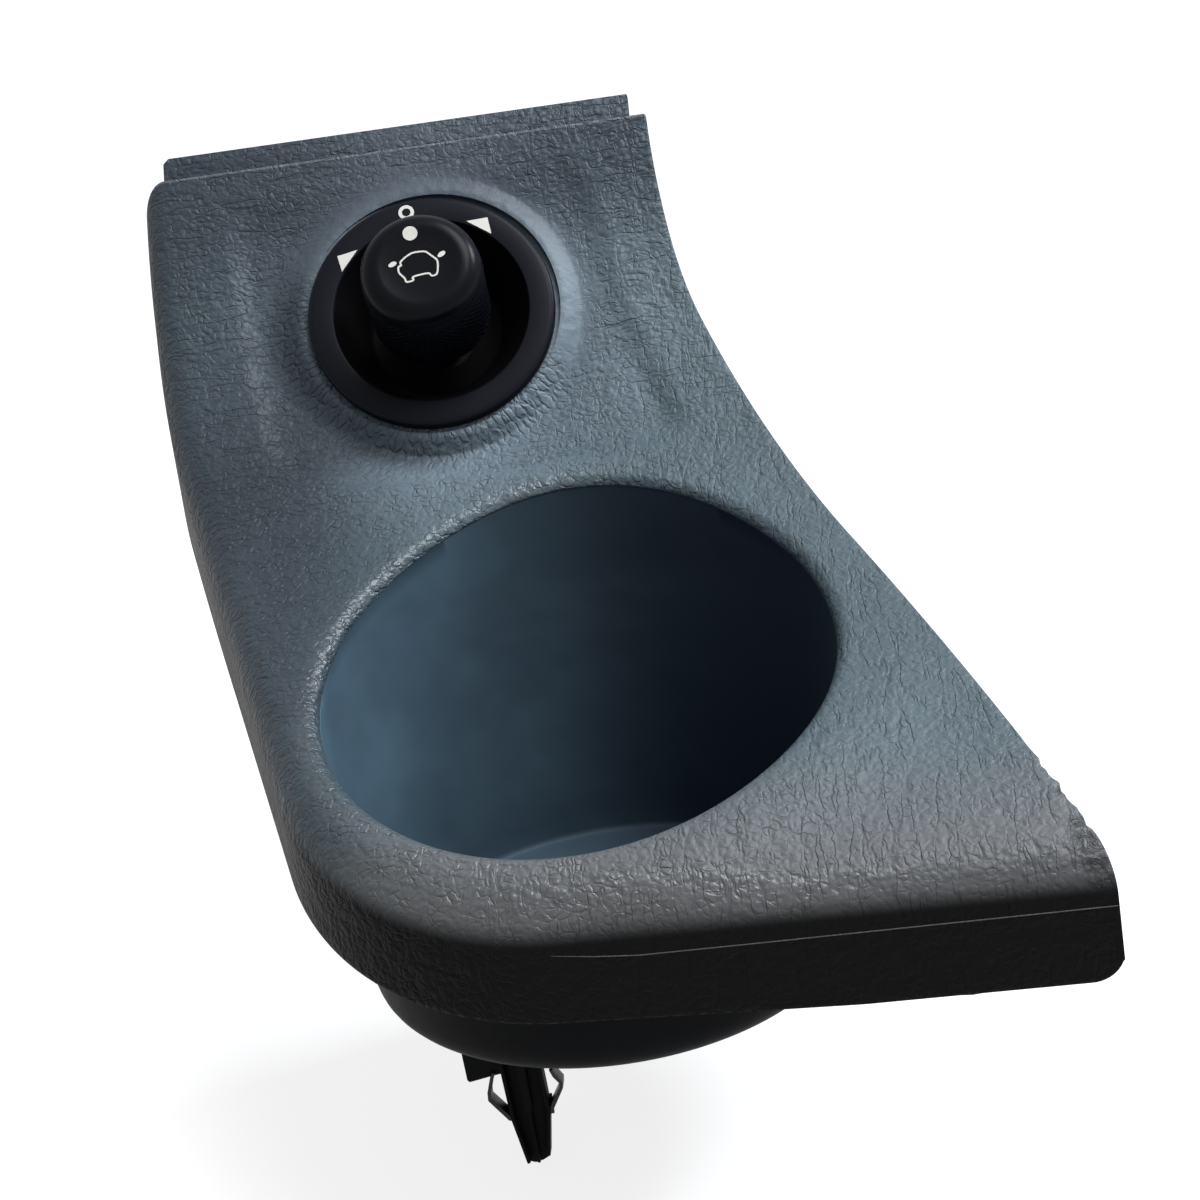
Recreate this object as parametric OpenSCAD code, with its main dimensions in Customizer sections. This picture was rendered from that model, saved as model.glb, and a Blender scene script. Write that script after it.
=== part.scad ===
// Dashboard trim panel with a moulded cup well and a mirror adjuster switch.
// The origin is the centre of the cup floor, +Z is the cup's axis and the driver looks along +Y.

/* [Cup well] */
// Diameter of the cup opening, measured on the cup's axis
cup_opening_d = 77; // [74:0.5:80]
// Depth of the cup on its axis, from the panel surface to the floor
cup_depth = 46; // [43:0.5:50]
// Draft of the cup wall, in degrees
cup_draft = 2.8; // [1.5:0.1:3]
// Wall thickness of the cup
cup_wall = 2.2; // [1.8:0.1:2.6]
// Thickness of the cup floor
cup_floor_t = 2.2; // [1.8:0.1:3]
// Radius of the rounded edge under the cup
cup_edge_r = 3; // [2:0.5:4]

/* [Panel shape] */
// Slope of the panel around the cup, in degrees
front_slope = 19; // [17:0.5:21]
// Slope of the panel behind the switch, in degrees
back_slope = 57; // [54:1:60]
// Place along Y where the panel starts to bend upwards
bend_y = 22.5; // [18:0.5:26]
// Radius of the bend between both slopes
bend_r = 104; // [98:1:110]
// Wall thickness of the panel
panel_wall = 2.4; // [2:0.1:2.8]
// Radius of the rounded edge above the skirt
edge_r = 5; // [4:0.5:6]
// Height of the skirt, square to the panel surface
skirt_h = 15.2; // [14:0.2:16.4]
// How far the skirt leans out at its lower edge
skirt_lean = 0.5; // [0.2:0.1:0.8]
// Radius of the lower corner at the skirt's free end
skirt_corner_r = 4.5; // [3:0.5:6]

/* [Panel outline] */
// Radius of the outline around the cup's front corner
corner_r = 45; // [43.5:0.5:47]
// Centre of the front corner, along X
corner_x = -1.5; // [-3:0.5:0.5]
// Centre of the front corner, along Y
corner_y = -3; // [-5:0.5:-2]
// Lean of the left edge, in degrees from +Y
left_lean = 20; // [17:0.5:23]
// Radius of the left edge where it turns straight
left_turn_r = 95; // [85:5:115]
// Place of the front right corner along X
right_x0 = 72.5; // [70:0.5:76]
// Lean of the right edge at the front, in degrees
right_lean_front = 20; // [18:0.5:22]
// Lean of the right edge where it turns, in degrees
right_lean_mid = 27.5; // [26:0.5:29.5]
// Lean of the right edge at the back, in degrees
right_lean_back = 3; // [1:0.5:6]
// Place along Y where the right edge turns
right_turn_y = 64.5; // [60:0.5:68]
// Place of the back edge along Y
back_y = 88; // [86:0.5:92]

/* [Back tongue] */
// Length of the tongue past the back edge
tongue_l = 4; // [3:0.2:6]
// Thickness of the tongue
tongue_t = 1.6; // [1.2:0.1:1.8]
// Step down from the panel surface to the tongue
tongue_step = 0.7; // [0.5:0.1:0.7]
// Inset of the tongue from both sides
tongue_inset = 3; // [2:0.5:5]

/* [Switch place] */
// Place of the switch along X
switch_x = -24; // [-26:0.5:-22]
// Place of the switch along Y, on the panel surface
switch_y = 69.4; // [67:0.2:71]
// Tilt of the switch axis from +Z, in degrees
switch_tilt = 53.5; // [51:0.5:56]
// Turn of the switch towards the right, in degrees
switch_turn = 7.2; // [5:0.2:9]
// Height of the bezel's face above the panel surface
bezel_h = 2.9; // [2.6:0.1:3.4]
// Depth of the shallow pocket around the switch
pocket_depth = 1; // [0.6:0.1:1.2]
// Radius of the raised boss at its foot
boss_foot_r = 30; // [28:0.5:32]

/* [Switch shell] */
// Diameter of the bore in the panel
bore_d = 38; // [37.5:0.1:38.5]
// Diameter of the bezel ring
bezel_d = 43.2; // [42.8:0.2:44]
// Thickness of the bezel flange
bezel_t = 1.8; // [1.4:0.1:2]
// Inner diameter of the bezel's face
bezel_face_d = 34; // [33:0.2:34.4]
// Depth of the bowl in the bezel
bowl_depth = 10.5; // [10:0.1:11]
// Wall thickness of the bowl
bowl_wall = 1.5; // [1.2:0.1:1.7]
// Radius of the hole in the bowl's floor
bowl_hole_r = 7.2; // [7:0.1:7.6]
// Wall thickness of the switch housing
housing_wall = 1.5; // [1.2:0.1:1.7]
// Depth of the collar that holds the switch
collar_h = 8; // [7:0.5:9]

/* [Knob] */
// Diameter of the knob
knob_d = 20.8; // [20:0.2:22]
// Height of the knob's top above the bezel
knob_h = 18.6; // [17.6:0.2:19.6]
// Wall thickness of the knob
knob_wall = 1.6; // [1.4:0.1:1.8]
// Radius of the knob's top edge
knob_edge_r = 2; // [1.2:0.2:2.4]
// Diameter of the stem inside the knob
stem_d = 8.4; // [8:0.2:8.8]
// Diameter of the drive shaft
shaft_d = 3.9; // [3.5:0.1:4.1]

/* [Stick pivot] */
// Depth of the pivot's centre below the bezel
pivot_depth = 21; // [20.6:0.2:22]
// Largest tilt of the stick each way, in degrees
tilt_max = 7; // [4:0.5:7]
// Diameter of the pivot pins
pin_d = 1.6; // [1.4:0.1:1.8]
// Running clearance on a pin's radius
pin_gap = 0.05; // [0.03:0.01:0.1]
// Radius of the small steel ball that clicks in the rotor
ball_r = 1.2; // [1:0.1:1.3]
// Wire of the return spring
return_wire = 0.7; // [0.5:0.1:0.8]
// Wire of the detent spring
detent_wire = 0.3; // [0.25:0.05:0.4]

/* [Clip tower] */
// Place of the clip tower along X
tower_x = -15; // [-17:0.5:-13]
// Place of the clip tower along Y
tower_y = -20; // [-22:0.5:-18]
// Width of the tower at its root
tower_w = 6.2; // [5.6:0.2:7]
// Length of the tower below the cup
tower_l = 25.6; // [24:0.2:28]
// Thickness of the tower's ribs
tower_rib = 1.8; // [1.4:0.1:2.2]
// Thickness of the spring steel clip
clip_t = 0.5; // [0.4:0.1:0.6]

/* [Hidden] */
$fn = 96;

// Clearance between two pieces that slide past each other
slide_gap = 0.1;
// Overlap that joins two bodies of one moulding
sink = 0.6;
// Steps of one rounded edge, of the front corner and of the bend
edge_steps = 5;
corner_steps = 10;
bend_steps = 14;

front_y = corner_y - corner_r;
bend_end_y = bend_y + bend_r * (sin(back_slope) - sin(front_slope));
bend_start_z = cup_depth + bend_y * tan(front_slope);
bend_end_z = bend_start_z + bend_r * (cos(front_slope) - cos(back_slope));

// Slope of the panel at y, in degrees
function slope_at(y) =
    y <= bend_y ? front_slope :
    y >= bend_end_y ? back_slope :
    asin(sin(front_slope) + (y - bend_y) / bend_r);

// Height of the panel surface at y
function top_z(y) =
    y <= bend_y ? cup_depth + y * tan(front_slope) :
    y >= bend_end_y ? bend_end_z + (y - bend_end_y) * tan(back_slope) :
    bend_start_z + bend_r * (cos(front_slope) - cos(slope_at(y)));

// Height of a surface that lies down below the panel, measured square to it
function under_z(y, down) = top_z(y) - down / cos(slope_at(y));

left_foot = [corner_x - corner_r * cos(left_lean), corner_y - corner_r * sin(left_lean)];
left_turn_y = back_y - left_turn_r * sin(left_lean);
left_turn_x = left_foot[0] - (left_turn_y - left_foot[1]) * tan(left_lean);

// Lean of the left edge at y, and its place along X
function left_lean_at(y) =
    y <= left_turn_y ? left_lean : y >= back_y ? 0 : asin((back_y - y) / left_turn_r);
function left_x(y) =
    y <= left_turn_y ? left_foot[0] - (y - left_foot[1]) * tan(left_lean) :
    left_turn_x + left_turn_r * (cos(left_lean) - cos(left_lean_at(y)));

right_r1 = (right_turn_y - front_y) / (sin(right_lean_mid) - sin(right_lean_front));
right_r2 = (back_y - right_turn_y) / (sin(right_lean_mid) - sin(right_lean_back));
right_turn_x = right_x0 - right_r1 * (cos(right_lean_front) - cos(right_lean_mid));

// Place of the right edge along X: one slow curve outwards, then one inwards
function right_x(y) =
    y <= right_turn_y
        ? right_x0 - right_r1 * (cos(right_lean_front)
            - cos(asin(sin(right_lean_front) + (y - front_y) / right_r1)))
        : right_turn_x - right_r2 * (cos(asin(sin(right_lean_mid) - (y - right_turn_y) / right_r2))
            - cos(right_lean_mid));

// Points [x, y, angle of the outward normal] around the front corner and up the left edge
function edge_path(y_end) = concat(
    [for (i = [0 : corner_steps])
        let (a = 270 - i * (90 - left_lean) / corner_steps)
        [corner_x + corner_r * cos(a), corner_y + corner_r * sin(a), a]],
    [for (i = [0 : bend_steps])
        let (y = bend_y + i * (bend_end_y - bend_y) / bend_steps)
        [left_x(y), y, 180 + left_lean_at(y)]],
    [[left_x(y_end), y_end, 180]]
);

// One closed slab under the panel surface, with a rounded edge at the front and the left.
// inset and down move its sides and its top inwards, reach lets it run past the open edges.
module slab(inset, down, r, depth, lean, reach) {
    path = edge_path(back_y + reach);
    n = len(path);
    rings = concat(
        [[inset - lean, depth]],
        [for (j = [0 : edge_steps])
            let (b = 90 * j / edge_steps)
            [inset + r * (1 - cos(b)), down + r * (1 - sin(b))]]
    );
    last = len(rings) - 1;
    points = concat(
        [for (g = rings) for (i = [0 : n])
            i == 0
                ? let (y = front_y + g[0]) [right_x(y) + reach, y, under_z(y, g[1])]
                : let (p = path[i - 1], y = p[1] - g[0] * sin(p[2]))
                  [p[0] - g[0] * cos(p[2]), y, under_z(y, g[1])]],
        [for (g = [rings[last], rings[0]]) for (i = [2 : n])
            let (p = path[i - 1], y = p[1] - g[0] * sin(p[2]))
            [right_x(y) + reach, y, under_z(y, g[1])]]
    );
    row = n + 1;
    top0 = len(rings) * row;
    low0 = top0 + n - 1;
    function top_right(i) = i == 1 ? last * row : top0 + i - 2;
    function low_right(i) = i == 1 ? 0 : low0 + i - 2;
    faces = concat(
        [for (j = [0 : last - 1]) for (i = [0 : n - 1])
            [j * row + i, j * row + i + 1, (j + 1) * row + i + 1]],
        [for (j = [0 : last - 1]) for (i = [0 : n - 1])
            [j * row + i, (j + 1) * row + i + 1, (j + 1) * row + i]],
        [for (i = [1 : n - 1])
            [last * row + i, last * row + i + 1, top_right(i + 1), top_right(i)]],
        [for (i = [1 : n - 1]) [i, low_right(i), low_right(i + 1), i + 1]],
        [for (j = [1 : last - 1]) [0, j * row, (j + 1) * row]],
        [[0, last * row, top_right(2)], [0, top_right(2), low_right(2)]],
        [for (i = [2 : n - 1]) [low_right(i), top_right(i), top_right(i + 1)]],
        [for (i = [2 : n - 1]) [low_right(i), top_right(i + 1), low_right(i + 1)]],
        [concat([low_right(n), top_right(n)], [for (j = [last : -1 : 0]) j * row + n])]
    );
    polyhedron(points, faces);
}

// Everything below a surface that lies down under the panel, from y0 to y1
module under_region(down, y0, y1) {
    half = 120;
    ys = concat([y0], [for (i = [0 : bend_steps])
        let (y = bend_y + i * (bend_end_y - bend_y) / bend_steps)
        if (y > y0 && y < y1) y], [y1]);
    translate([-half, 0, 0]) rotate([90, 0, 90]) linear_extrude(2 * half)
        polygon(concat([[y1, -half], [y0, -half]], [for (y = ys) [y, under_z(y, down)]]));
}

cup_opening_r = cup_opening_d / 2;
cup_floor_r = cup_opening_r - cup_depth * tan(cup_draft);
cup_reach = 40;

// Radius of the cup's inner wall at height z
function cup_r(z) = cup_floor_r + z * tan(cup_draft);

// Outer form of the cup, up to a little under the panel surface
module cup_outside() {
    top = cup_depth + cup_reach;
    low = cup_r(0) + cup_wall - cup_edge_r;
    intersection() {
        rotate_extrude() polygon(concat(
            [[0, top], [0, -cup_floor_t]],
            [for (b = [0 : 15 : 90])
                [low + cup_edge_r * sin(b), -cup_floor_t + cup_edge_r * (1 - cos(b))]],
            [[cup_r(top) + cup_wall, top]]
        ));
        under_region(sink, -60, 60);
    }
}

// Inside of the cup, which has a small round where the wall meets the floor
module cup_inside() {
    top = cup_depth + cup_reach;
    r = cup_floor_t / 2;
    rotate_extrude() polygon(concat(
        [[0, top], [0, 0]],
        [for (b = [0 : 30 : 90]) [cup_r(r) - r + r * sin(b), r * (1 - cos(b))]],
        [[cup_r(top), top]]
    ));
}

switch_axis = [sin(switch_turn) * sin(switch_tilt), -cos(switch_turn) * sin(switch_tilt), cos(switch_tilt)];
switch_pos = [switch_x, switch_y, top_z(switch_y)] + bezel_h * switch_axis;

// Places its children in the switch's own frame: the bezel's face is at height 0
module in_switch() {
    translate(switch_pos) rotate([switch_tilt, 0, switch_turn]) children();
}

// A plain round bar along the switch's axis, between two heights
module bar(r, low, high) {
    translate([0, 0, low]) cylinder(r = r, h = high - low);
}

// A tube along the switch's axis, between two heights
module tube(r_out, r_in, low, high) {
    difference() {
        bar(r_out, low, high);
        bar(r_in, low - 1, high + 1);
    }
}

// A round bar square to the switch's axis, along its own X, between two distances
module cross_bar(r, near, far) {
    translate([near, 0, 0]) rotate([0, 90, 0]) cylinder(r = r, h = far - near, $fn = 32);
}

bore_r = bore_d / 2;
bezel_r = bezel_d / 2;
seat_gap = 0.8;
collar_wall = 2.2;
key_w = 2;
key_h = 1;

// Pocket around the switch: corners [x, y, corner radius] in plan
pocket_front_y = 46;
pocket_back_y = 85;
pocket_left = 15;
pocket_right = 10;
pocket_r = 7;

// Points of one rounded corner between the directions a0 and a1
function round_corner(x, y, r, a0, a1) = [for (i = [0 : 6])
    let (a = a0 + (a1 - a0) * i / 6) [x + r * cos(a), y + r * sin(a)]];

module pocket_cut() {
    yf = pocket_front_y;
    yb = pocket_back_y;
    difference() {
        linear_extrude(cup_depth + 2 * back_y) polygon(concat(
            round_corner(left_x(yf) + pocket_left + pocket_r, yf + pocket_r, pocket_r, 180, 270),
            round_corner(right_x(yf) - pocket_right - pocket_r, yf + pocket_r, pocket_r, 270, 380),
            round_corner(right_x(yb) - pocket_right - pocket_r, yb - pocket_r, pocket_r, 20, 90),
            round_corner(left_x(yb) + pocket_left + pocket_r, yb - pocket_r, pocket_r, 90, 180)
        ));
        under_region(pocket_depth, 0, 2 * back_y);
    }
}

// Raised boss and the collar below it, cut flat for the bezel and bored for the housing
module switch_seat() {
    in_switch() union() {
        translate([0, 0, -bezel_t - 4]) cylinder(r1 = boss_foot_r, r2 = bezel_r + seat_gap, h = 4);
        bar(bore_r + collar_wall, -collar_h, -bezel_t);
    }
}

module switch_bore() {
    in_switch() union() {
        bar(bezel_r + seat_gap / 4, -bezel_t, 12);
        bar(bore_r, -40, 12);
        translate([-key_w / 2 - slide_gap, 0, -collar_h - 1])
            cube([key_w + 2 * slide_gap, bore_r + key_h + 2 * slide_gap, collar_h + 1 - bezel_t - sink]);
    }
}

// Strip of the surface that slides under the dash panel behind
module tongue() {
    x0 = left_x(back_y) + tongue_inset;
    w = right_x(back_y) - tongue_inset - x0;
    lap = 3;
    chamfer = 2;
    translate([x0, back_y, top_z(back_y)]) rotate([back_slope, 0, 0])
        translate([0, -lap, -tongue_step - tongue_t]) linear_extrude(tongue_t) polygon([
            [0, 0], [w, 0], [w, lap + tongue_l], [chamfer, lap + tongue_l],
            [0, lap + tongue_l - chamfer]
        ]);
}

tower_top = -cup_floor_t + sink;
tower_tip = -cup_floor_t - tower_l;
tower_depth = 9;
clip_top = tower_tip + 17;
clip_low = tower_tip + 8;
clip_plate_h = 4;
clip_back = tower_rib / 2 + slide_gap;

// Cross-ribbed tower under the cup, slotted for the clip's back plate
module clip_tower() {
    half = tower_w / 2;
    translate([tower_x, tower_y, 0]) difference() {
        tower_ribs(half);
        translate([-tower_rib, clip_back - slide_gap, clip_low - slide_gap])
            cube([2 * tower_rib, clip_t + 2 * slide_gap, clip_plate_h + 2 * slide_gap]);
    }
}

// The tower's two crossed ribs and the short gusset beside them
module tower_ribs(half) {
    union() {
        rotate([90, 0, 0]) translate([0, 0, -tower_rib / 2]) linear_extrude(tower_rib) polygon([
            [-half, tower_top], [-half, clip_low], [-half + 1, tower_tip + 4], [-0.8, tower_tip],
            [0.8, tower_tip], [half - 1.4, tower_tip + 4], [half, clip_low], [half, tower_top]
        ]);
        rotate([90, 0, 90]) translate([0, 0, -tower_rib / 2]) linear_extrude(tower_rib) polygon([
            [-tower_depth / 2, tower_top], [-tower_depth / 2 + 1, clip_low], [-1, tower_tip + 2],
            [1, tower_tip + 2], [tower_depth / 2 - 1, clip_low], [tower_depth / 2, tower_top]
        ]);
        rotate([90, 0, 0]) translate([0, 0, -tower_rib / 2]) linear_extrude(tower_rib) polygon([
            [-half - 5.4, tower_top], [-half - 5.4, tower_top - 6.6], [-half - 4.4, tower_top - 10],
            [-half - 1.4, tower_top - 8], [-half + 0.4, tower_top - 6], [-half + 0.4, tower_top]
        ]);
    }
}

// Rounds the lower corner at the free end of the skirt
module skirt_end_cut() {
    r = skirt_corner_r;
    y = front_y - skirt_lean;
    z = under_z(front_y, skirt_h);
    translate([right_x0 - r, y - 2, z + r]) rotate([-90, 0, 0]) difference() {
        cube([2 * r, 2 * r, 4 + skirt_lean + panel_wall]);
        translate([0, 0, -1]) cylinder(r = r, h = 20, $fn = 48);
    }
}

// One moulding: panel, skirt, cup well, boss, collar, tongue and clip tower
module trim_panel() {
    color("#56646e") difference() {
        union() {
            difference() {
                slab(0, 0, edge_r, skirt_h, skirt_lean, 0);
                slab(panel_wall, panel_wall, edge_r - panel_wall, skirt_h + 8, 0, 6);
                pocket_cut();
            }
            cup_outside();
            switch_seat();
            tongue();
            clip_tower();
        }
        cup_inside();
        switch_bore();
        skirt_end_cut();
    }
}

// Spring steel clip round the tower: a back plate and a bowed leg on each side
module panel_clip() {
    leg_w = 4;
    half = tower_w / 2 + slide_gap;
    color("#24262a") translate([tower_x, tower_y, 0]) union() {
        translate([-half - clip_t, clip_back, clip_low])
            cube([2 * (half + clip_t), clip_t, clip_plate_h]);
        for (side = [-1, 1]) scale([side, 1, 1])
            translate([0, clip_back + clip_t, 0]) rotate([90, 0, 0]) linear_extrude(leg_w) polygon([
                [half, clip_low], [half + clip_t, clip_low], [half + clip_t, clip_low + 2.4],
                [half + 2.4, clip_low + 6.6], [half + 2, clip_top - 0.6],
                [half + 0.9, clip_top + 0.6], [half + 0.4, clip_top + 0.3],
                [half + 1.5, clip_top - 0.9], [half + 1.8, clip_low + 6.7],
                [half, clip_low + 2.8]
            ]);
    }
}

bowl_low = -bowl_depth;
bowl_floor_r = 11.5;
housing_r = bore_r - 2 * slide_gap;
housing_in = housing_r - housing_wall;
pivot_z = -pivot_depth;

// Ring and bowl around the knob, in one moulding
module switch_bezel() {
    face_r = bezel_face_d / 2;
    rim = housing_in - slide_gap;
    color("#141519") in_switch() rotate_extrude() polygon([
        [bezel_r, -bezel_t], [bezel_r, -0.8], [bezel_r - 0.3, -0.2], [bezel_r - 1, 0],
        [face_r + 0.4, 0], [face_r, -0.3], [face_r - 0.5, -1.4],
        [bowl_floor_r, bowl_low], [bowl_hole_r, bowl_low],
        [bowl_hole_r, bowl_low - bowl_wall], [bowl_floor_r + 0.7, bowl_low - bowl_wall],
        [rim, -bezel_t - bowl_wall], [rim, -bezel_t]
    ]);
}

board_t = 1.2;
board_hole_r = 1.6;
housing_low = pivot_z - 13;
rib_low = housing_low + 0.5;
post_near = 11.8;
post_r = 2.2;
arm_angle = 45;
detent_z = pivot_z - 8.55;
detent_near = 10.2;
detent_wall = 0.5;
detent_far = housing_in - 0.3;
board_top = detent_z - ball_r - detent_wall - slide_gap / 2;
disc_r = 8.6;
ball_at = disc_r + slide_gap / 2 + ball_r;
pin_r = pin_d / 2;

// Round case with the posts of the outer pivot pins and the bore of the click ball
module switch_housing() {
    color("#1d1e22") in_switch() difference() {
        union() {
            tube(housing_r, housing_in, housing_low, -bezel_t);
            for (a = [90, 270]) rotate([0, 0, a]) translate([0, 0, pivot_z])
                cross_bar(post_r, post_near, housing_in + sink);
            rotate([0, 0, arm_angle]) translate([0, 0, detent_z])
                cross_bar(ball_r + detent_wall, detent_near, housing_in + sink);
            translate([-key_w / 2, housing_in + sink, -collar_h])
                cube([key_w, housing_wall - sink + key_h, collar_h - bezel_t - 1]);
            for (a = [60, 180, 300]) rotate([0, 0, a])
                translate([housing_in - 1.2, -1, rib_low])
                    cube([1.2 + sink, 2, board_top - board_t - rib_low]);
        }
        for (a = [90, 270]) rotate([0, 0, a]) translate([0, 0, pivot_z])
            cross_bar(pin_r, post_near - 1, housing_in - 0.4);
        rotate([0, 0, arm_angle]) translate([0, 0, detent_z])
            cross_bar(ball_r + pin_gap, detent_near - 1, detent_far);
    }
}

shroud_w = 22;
shroud_d = 9.4;
shroud_wall = 1.2;
shroud_l = 9;
cover_t = 1.6;
terminal_w = 0.64;
terminal_pitch = 2.54;
terminal_rows = [-1, 1];
terminal_cols = [-1.5, -0.5, 0.5, 1.5];

// Places its children at each terminal
module at_terminals() {
    for (row = terminal_rows) for (col = terminal_cols)
        translate([col * terminal_pitch, row * terminal_pitch / 2, 0]) children();
}

// Lid of the housing with the shroud for the harness plug
module rear_cover() {
    low = housing_low - cover_t - shroud_l;
    color("#1a1b1f") in_switch() difference() {
        union() {
            bar(housing_r, housing_low - cover_t, housing_low);
            translate([-shroud_w / 2, -shroud_d / 2, low]) cube([shroud_w, shroud_d, shroud_l + sink]);
            translate([-2, shroud_d / 2 - sink, low + 3]) cube([4, 1 + sink, 4]);
        }
        translate([-shroud_w / 2 + shroud_wall, -shroud_d / 2 + shroud_wall, low - 1])
            cube([shroud_w - 2 * shroud_wall, shroud_d - 2 * shroud_wall, shroud_l + 1]);
        at_terminals() translate([-terminal_w / 2 - slide_gap, -terminal_w / 2 - slide_gap, low])
            cube([terminal_w + 2 * slide_gap, terminal_w + 2 * slide_gap, shroud_l + cover_t + 1]);
    }
}

module terminal_pins() {
    low = housing_low - cover_t - shroud_l + 2;
    color("#b8a060") in_switch() at_terminals()
        translate([-terminal_w / 2, -terminal_w / 2, low])
            cube([terminal_w, terminal_w, board_top - board_t - low]);
}

// Leaf that springs out under the collar; side is -1 for left and 1 for right
module retaining_spring(side) {
    near = housing_r + slide_gap / 2;
    top = -collar_h - 0.3;
    leaf_w = 6;
    color("#9a9da2") in_switch() rotate([0, 0, side > 0 ? 0 : 180])
        translate([0, leaf_w / 2, 0]) rotate([90, 0, 0]) linear_extrude(leaf_w) polygon([
            [near, -20], [near + 0.5, -20], [near + 0.5, -17], [near + 2.2, top - 2],
            [near + 1.6, top], [near + 1.1, top], [near + 1.6, top - 2.2], [near, -16.8]
        ]);
}
module retaining_spring_left() { retaining_spring(-1); }
module retaining_spring_right() { retaining_spring(1); }

knob_r = knob_d / 2;
knob_low = -1;
stem_r = stem_d / 2;
shaft_r = shaft_d / 2;
knob_web = 4.4;
stem_top = knob_h - knob_wall - knob_web - 0.2;

// Hollow knob: outer shell, top, and the inner boss that turns on the stem
module knob_cap() {
    boss_r = stem_r + slide_gap + 1.6;
    inside = knob_h - knob_wall;
    color("#17181c") in_switch() difference() {
        rotate_extrude() polygon(concat(
            [[0, inside - knob_web], [stem_r + slide_gap, inside - knob_web]],
            [[stem_r + slide_gap, knob_low + 3], [boss_r, knob_low + 3], [boss_r, inside]],
            [[knob_r - knob_wall, inside], [knob_r - knob_wall, knob_low]],
            [[knob_r, knob_low]],
            [for (b = [0 : 15 : 90])
                [knob_r - knob_edge_r * (1 - cos(b)), knob_h - knob_edge_r * (1 - sin(b))]],
            [[0, knob_h]]
        ));
        bar(shaft_r, inside - knob_web - 1, inside - 0.6);
    }
}

shaft_ball_r = 2.4;
cross_pin_r = 0.6;
cross_pin_l = 3.2;

// Steel shaft from the knob down to a ball with a cross pin, which drives the rotor
module drive_shaft() {
    color("#a6a9ad") in_switch() union() {
        bar(shaft_r, pivot_z, knob_h - knob_wall - 0.6);
        translate([0, 0, pivot_z]) sphere(r = shaft_ball_r);
        translate([0, 0, pivot_z]) cross_bar(cross_pin_r, -cross_pin_l, cross_pin_l);
    }
}

bell_r = 7.8;
bell_in = 5.8;
bell_top = pivot_z + 5;
bell_low = pivot_z - 4.5;
bell_roof = 1.5;

// Stem that the knob turns on, with the bell that tilts in the gimbal
module stick_stem() {
    color("#d8d8d2") in_switch() difference() {
        union() {
            bar(stem_r, bell_top - sink, stem_top);
            bar(bell_r, bell_low, bell_top);
        }
        bar(shaft_r + slide_gap, bell_low - 1, stem_top + 1);
        bar(bell_in, bell_low - 1, bell_top - bell_roof);
        translate([0, 0, pivot_z]) cross_bar(pin_r + pin_gap, -bell_r - 1, bell_r + 1);
    }
}

rocker_r = 13.6;
rocker_t = 1.4;
rocker_arm = 5;
dome_at = 12;

// Cross-shaped plate under the bell that presses the switch domes
module rocker_cross() {
    low = bell_low - rocker_t;
    color("#d2cfc4") in_switch() difference() {
        union() {
            bar(bell_r + slide_gap / 2 + 1.3, low, bell_low + 0.9);
            intersection() {
                bar(rocker_r, low, bell_low);
                for (a = [0, 90]) rotate([0, 0, a])
                    translate([-rocker_r, -rocker_arm / 2, low]) cube([2 * rocker_r, rocker_arm, rocker_t]);
            }
        }
        bar(bell_in + 0.4, low - 1, bell_low + 1);
        bar(bell_r + slide_gap / 2, bell_low, bell_low + 2);
    }
}

gimbal_in = 8.6;
gimbal_out = 11.2;
gimbal_half = 2;

// Ring between the stem and the housing, pivoted at right angles on both
module gimbal_ring() {
    color("#caccd0") in_switch() difference() {
        tube(gimbal_out, gimbal_in, pivot_z - gimbal_half, pivot_z + gimbal_half);
        translate([0, 0, pivot_z]) cross_bar(pin_r, -gimbal_out - 1, gimbal_out + 1);
        translate([0, 0, pivot_z]) rotate([0, 0, 90])
            cross_bar(pin_r + pin_gap, -gimbal_out - 1, gimbal_out + 1);
    }
}

// Two pins pressed into the ring, on which the stem tilts
module gimbal_pins_inner() {
    color("#8f9297") in_switch() for (a = [0, 180]) rotate([0, 0, a])
        translate([0, 0, pivot_z]) cross_bar(pin_r, bell_in + 0.4, gimbal_out - slide_gap);
}

// Two pins pressed into the housing's posts, on which the ring tilts
module gimbal_pins_outer() {
    color("#8f9297") in_switch() for (a = [90, 270]) rotate([0, 0, a])
        translate([0, 0, pivot_z]) cross_bar(pin_r, gimbal_in + 0.2, housing_in - 0.5);
}

// A coil spring along +Z: radii r0 to r1, a round wire and the given turns
module coil(r0, r1, height, wire, turns, steps, sides) {
    n = turns * steps;
    rise = (height - wire) / n;
    points = [for (i = [0 : n]) for (k = [0 : sides - 1])
        let (t = i * 360 / steps, b = k * 360 / sides, r = r0 + (r1 - r0) * i / n + wire / 2 * cos(b))
        [r * cos(t), r * sin(t), wire / 2 + i * rise + wire / 2 * sin(b)]];
    faces = concat(
        [for (i = [0 : n - 1]) for (k = [0 : sides - 1])
            [i * sides + k, (i + 1) * sides + (k + 1) % sides, i * sides + (k + 1) % sides]],
        [for (i = [0 : n - 1]) for (k = [0 : sides - 1])
            [i * sides + k, (i + 1) * sides + k, (i + 1) * sides + (k + 1) % sides]],
        [[for (k = [0 : sides - 1]) k]],
        [[for (k = [sides - 1 : -1 : 0]) n * sides + k]]
    );
    polyhedron(points, faces);
}

// Spring between the bowl and the bell that brings the stick back upright
module return_spring() {
    low = bell_top + slide_gap / 2;
    high = bowl_low - bowl_wall - slide_gap / 2;
    color("#b4b7bb") in_switch() translate([0, 0, low])
        coil(bell_r - 1.4, bowl_hole_r + 2.4, high - low, return_wire, 3, 24, 6);
}

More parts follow.
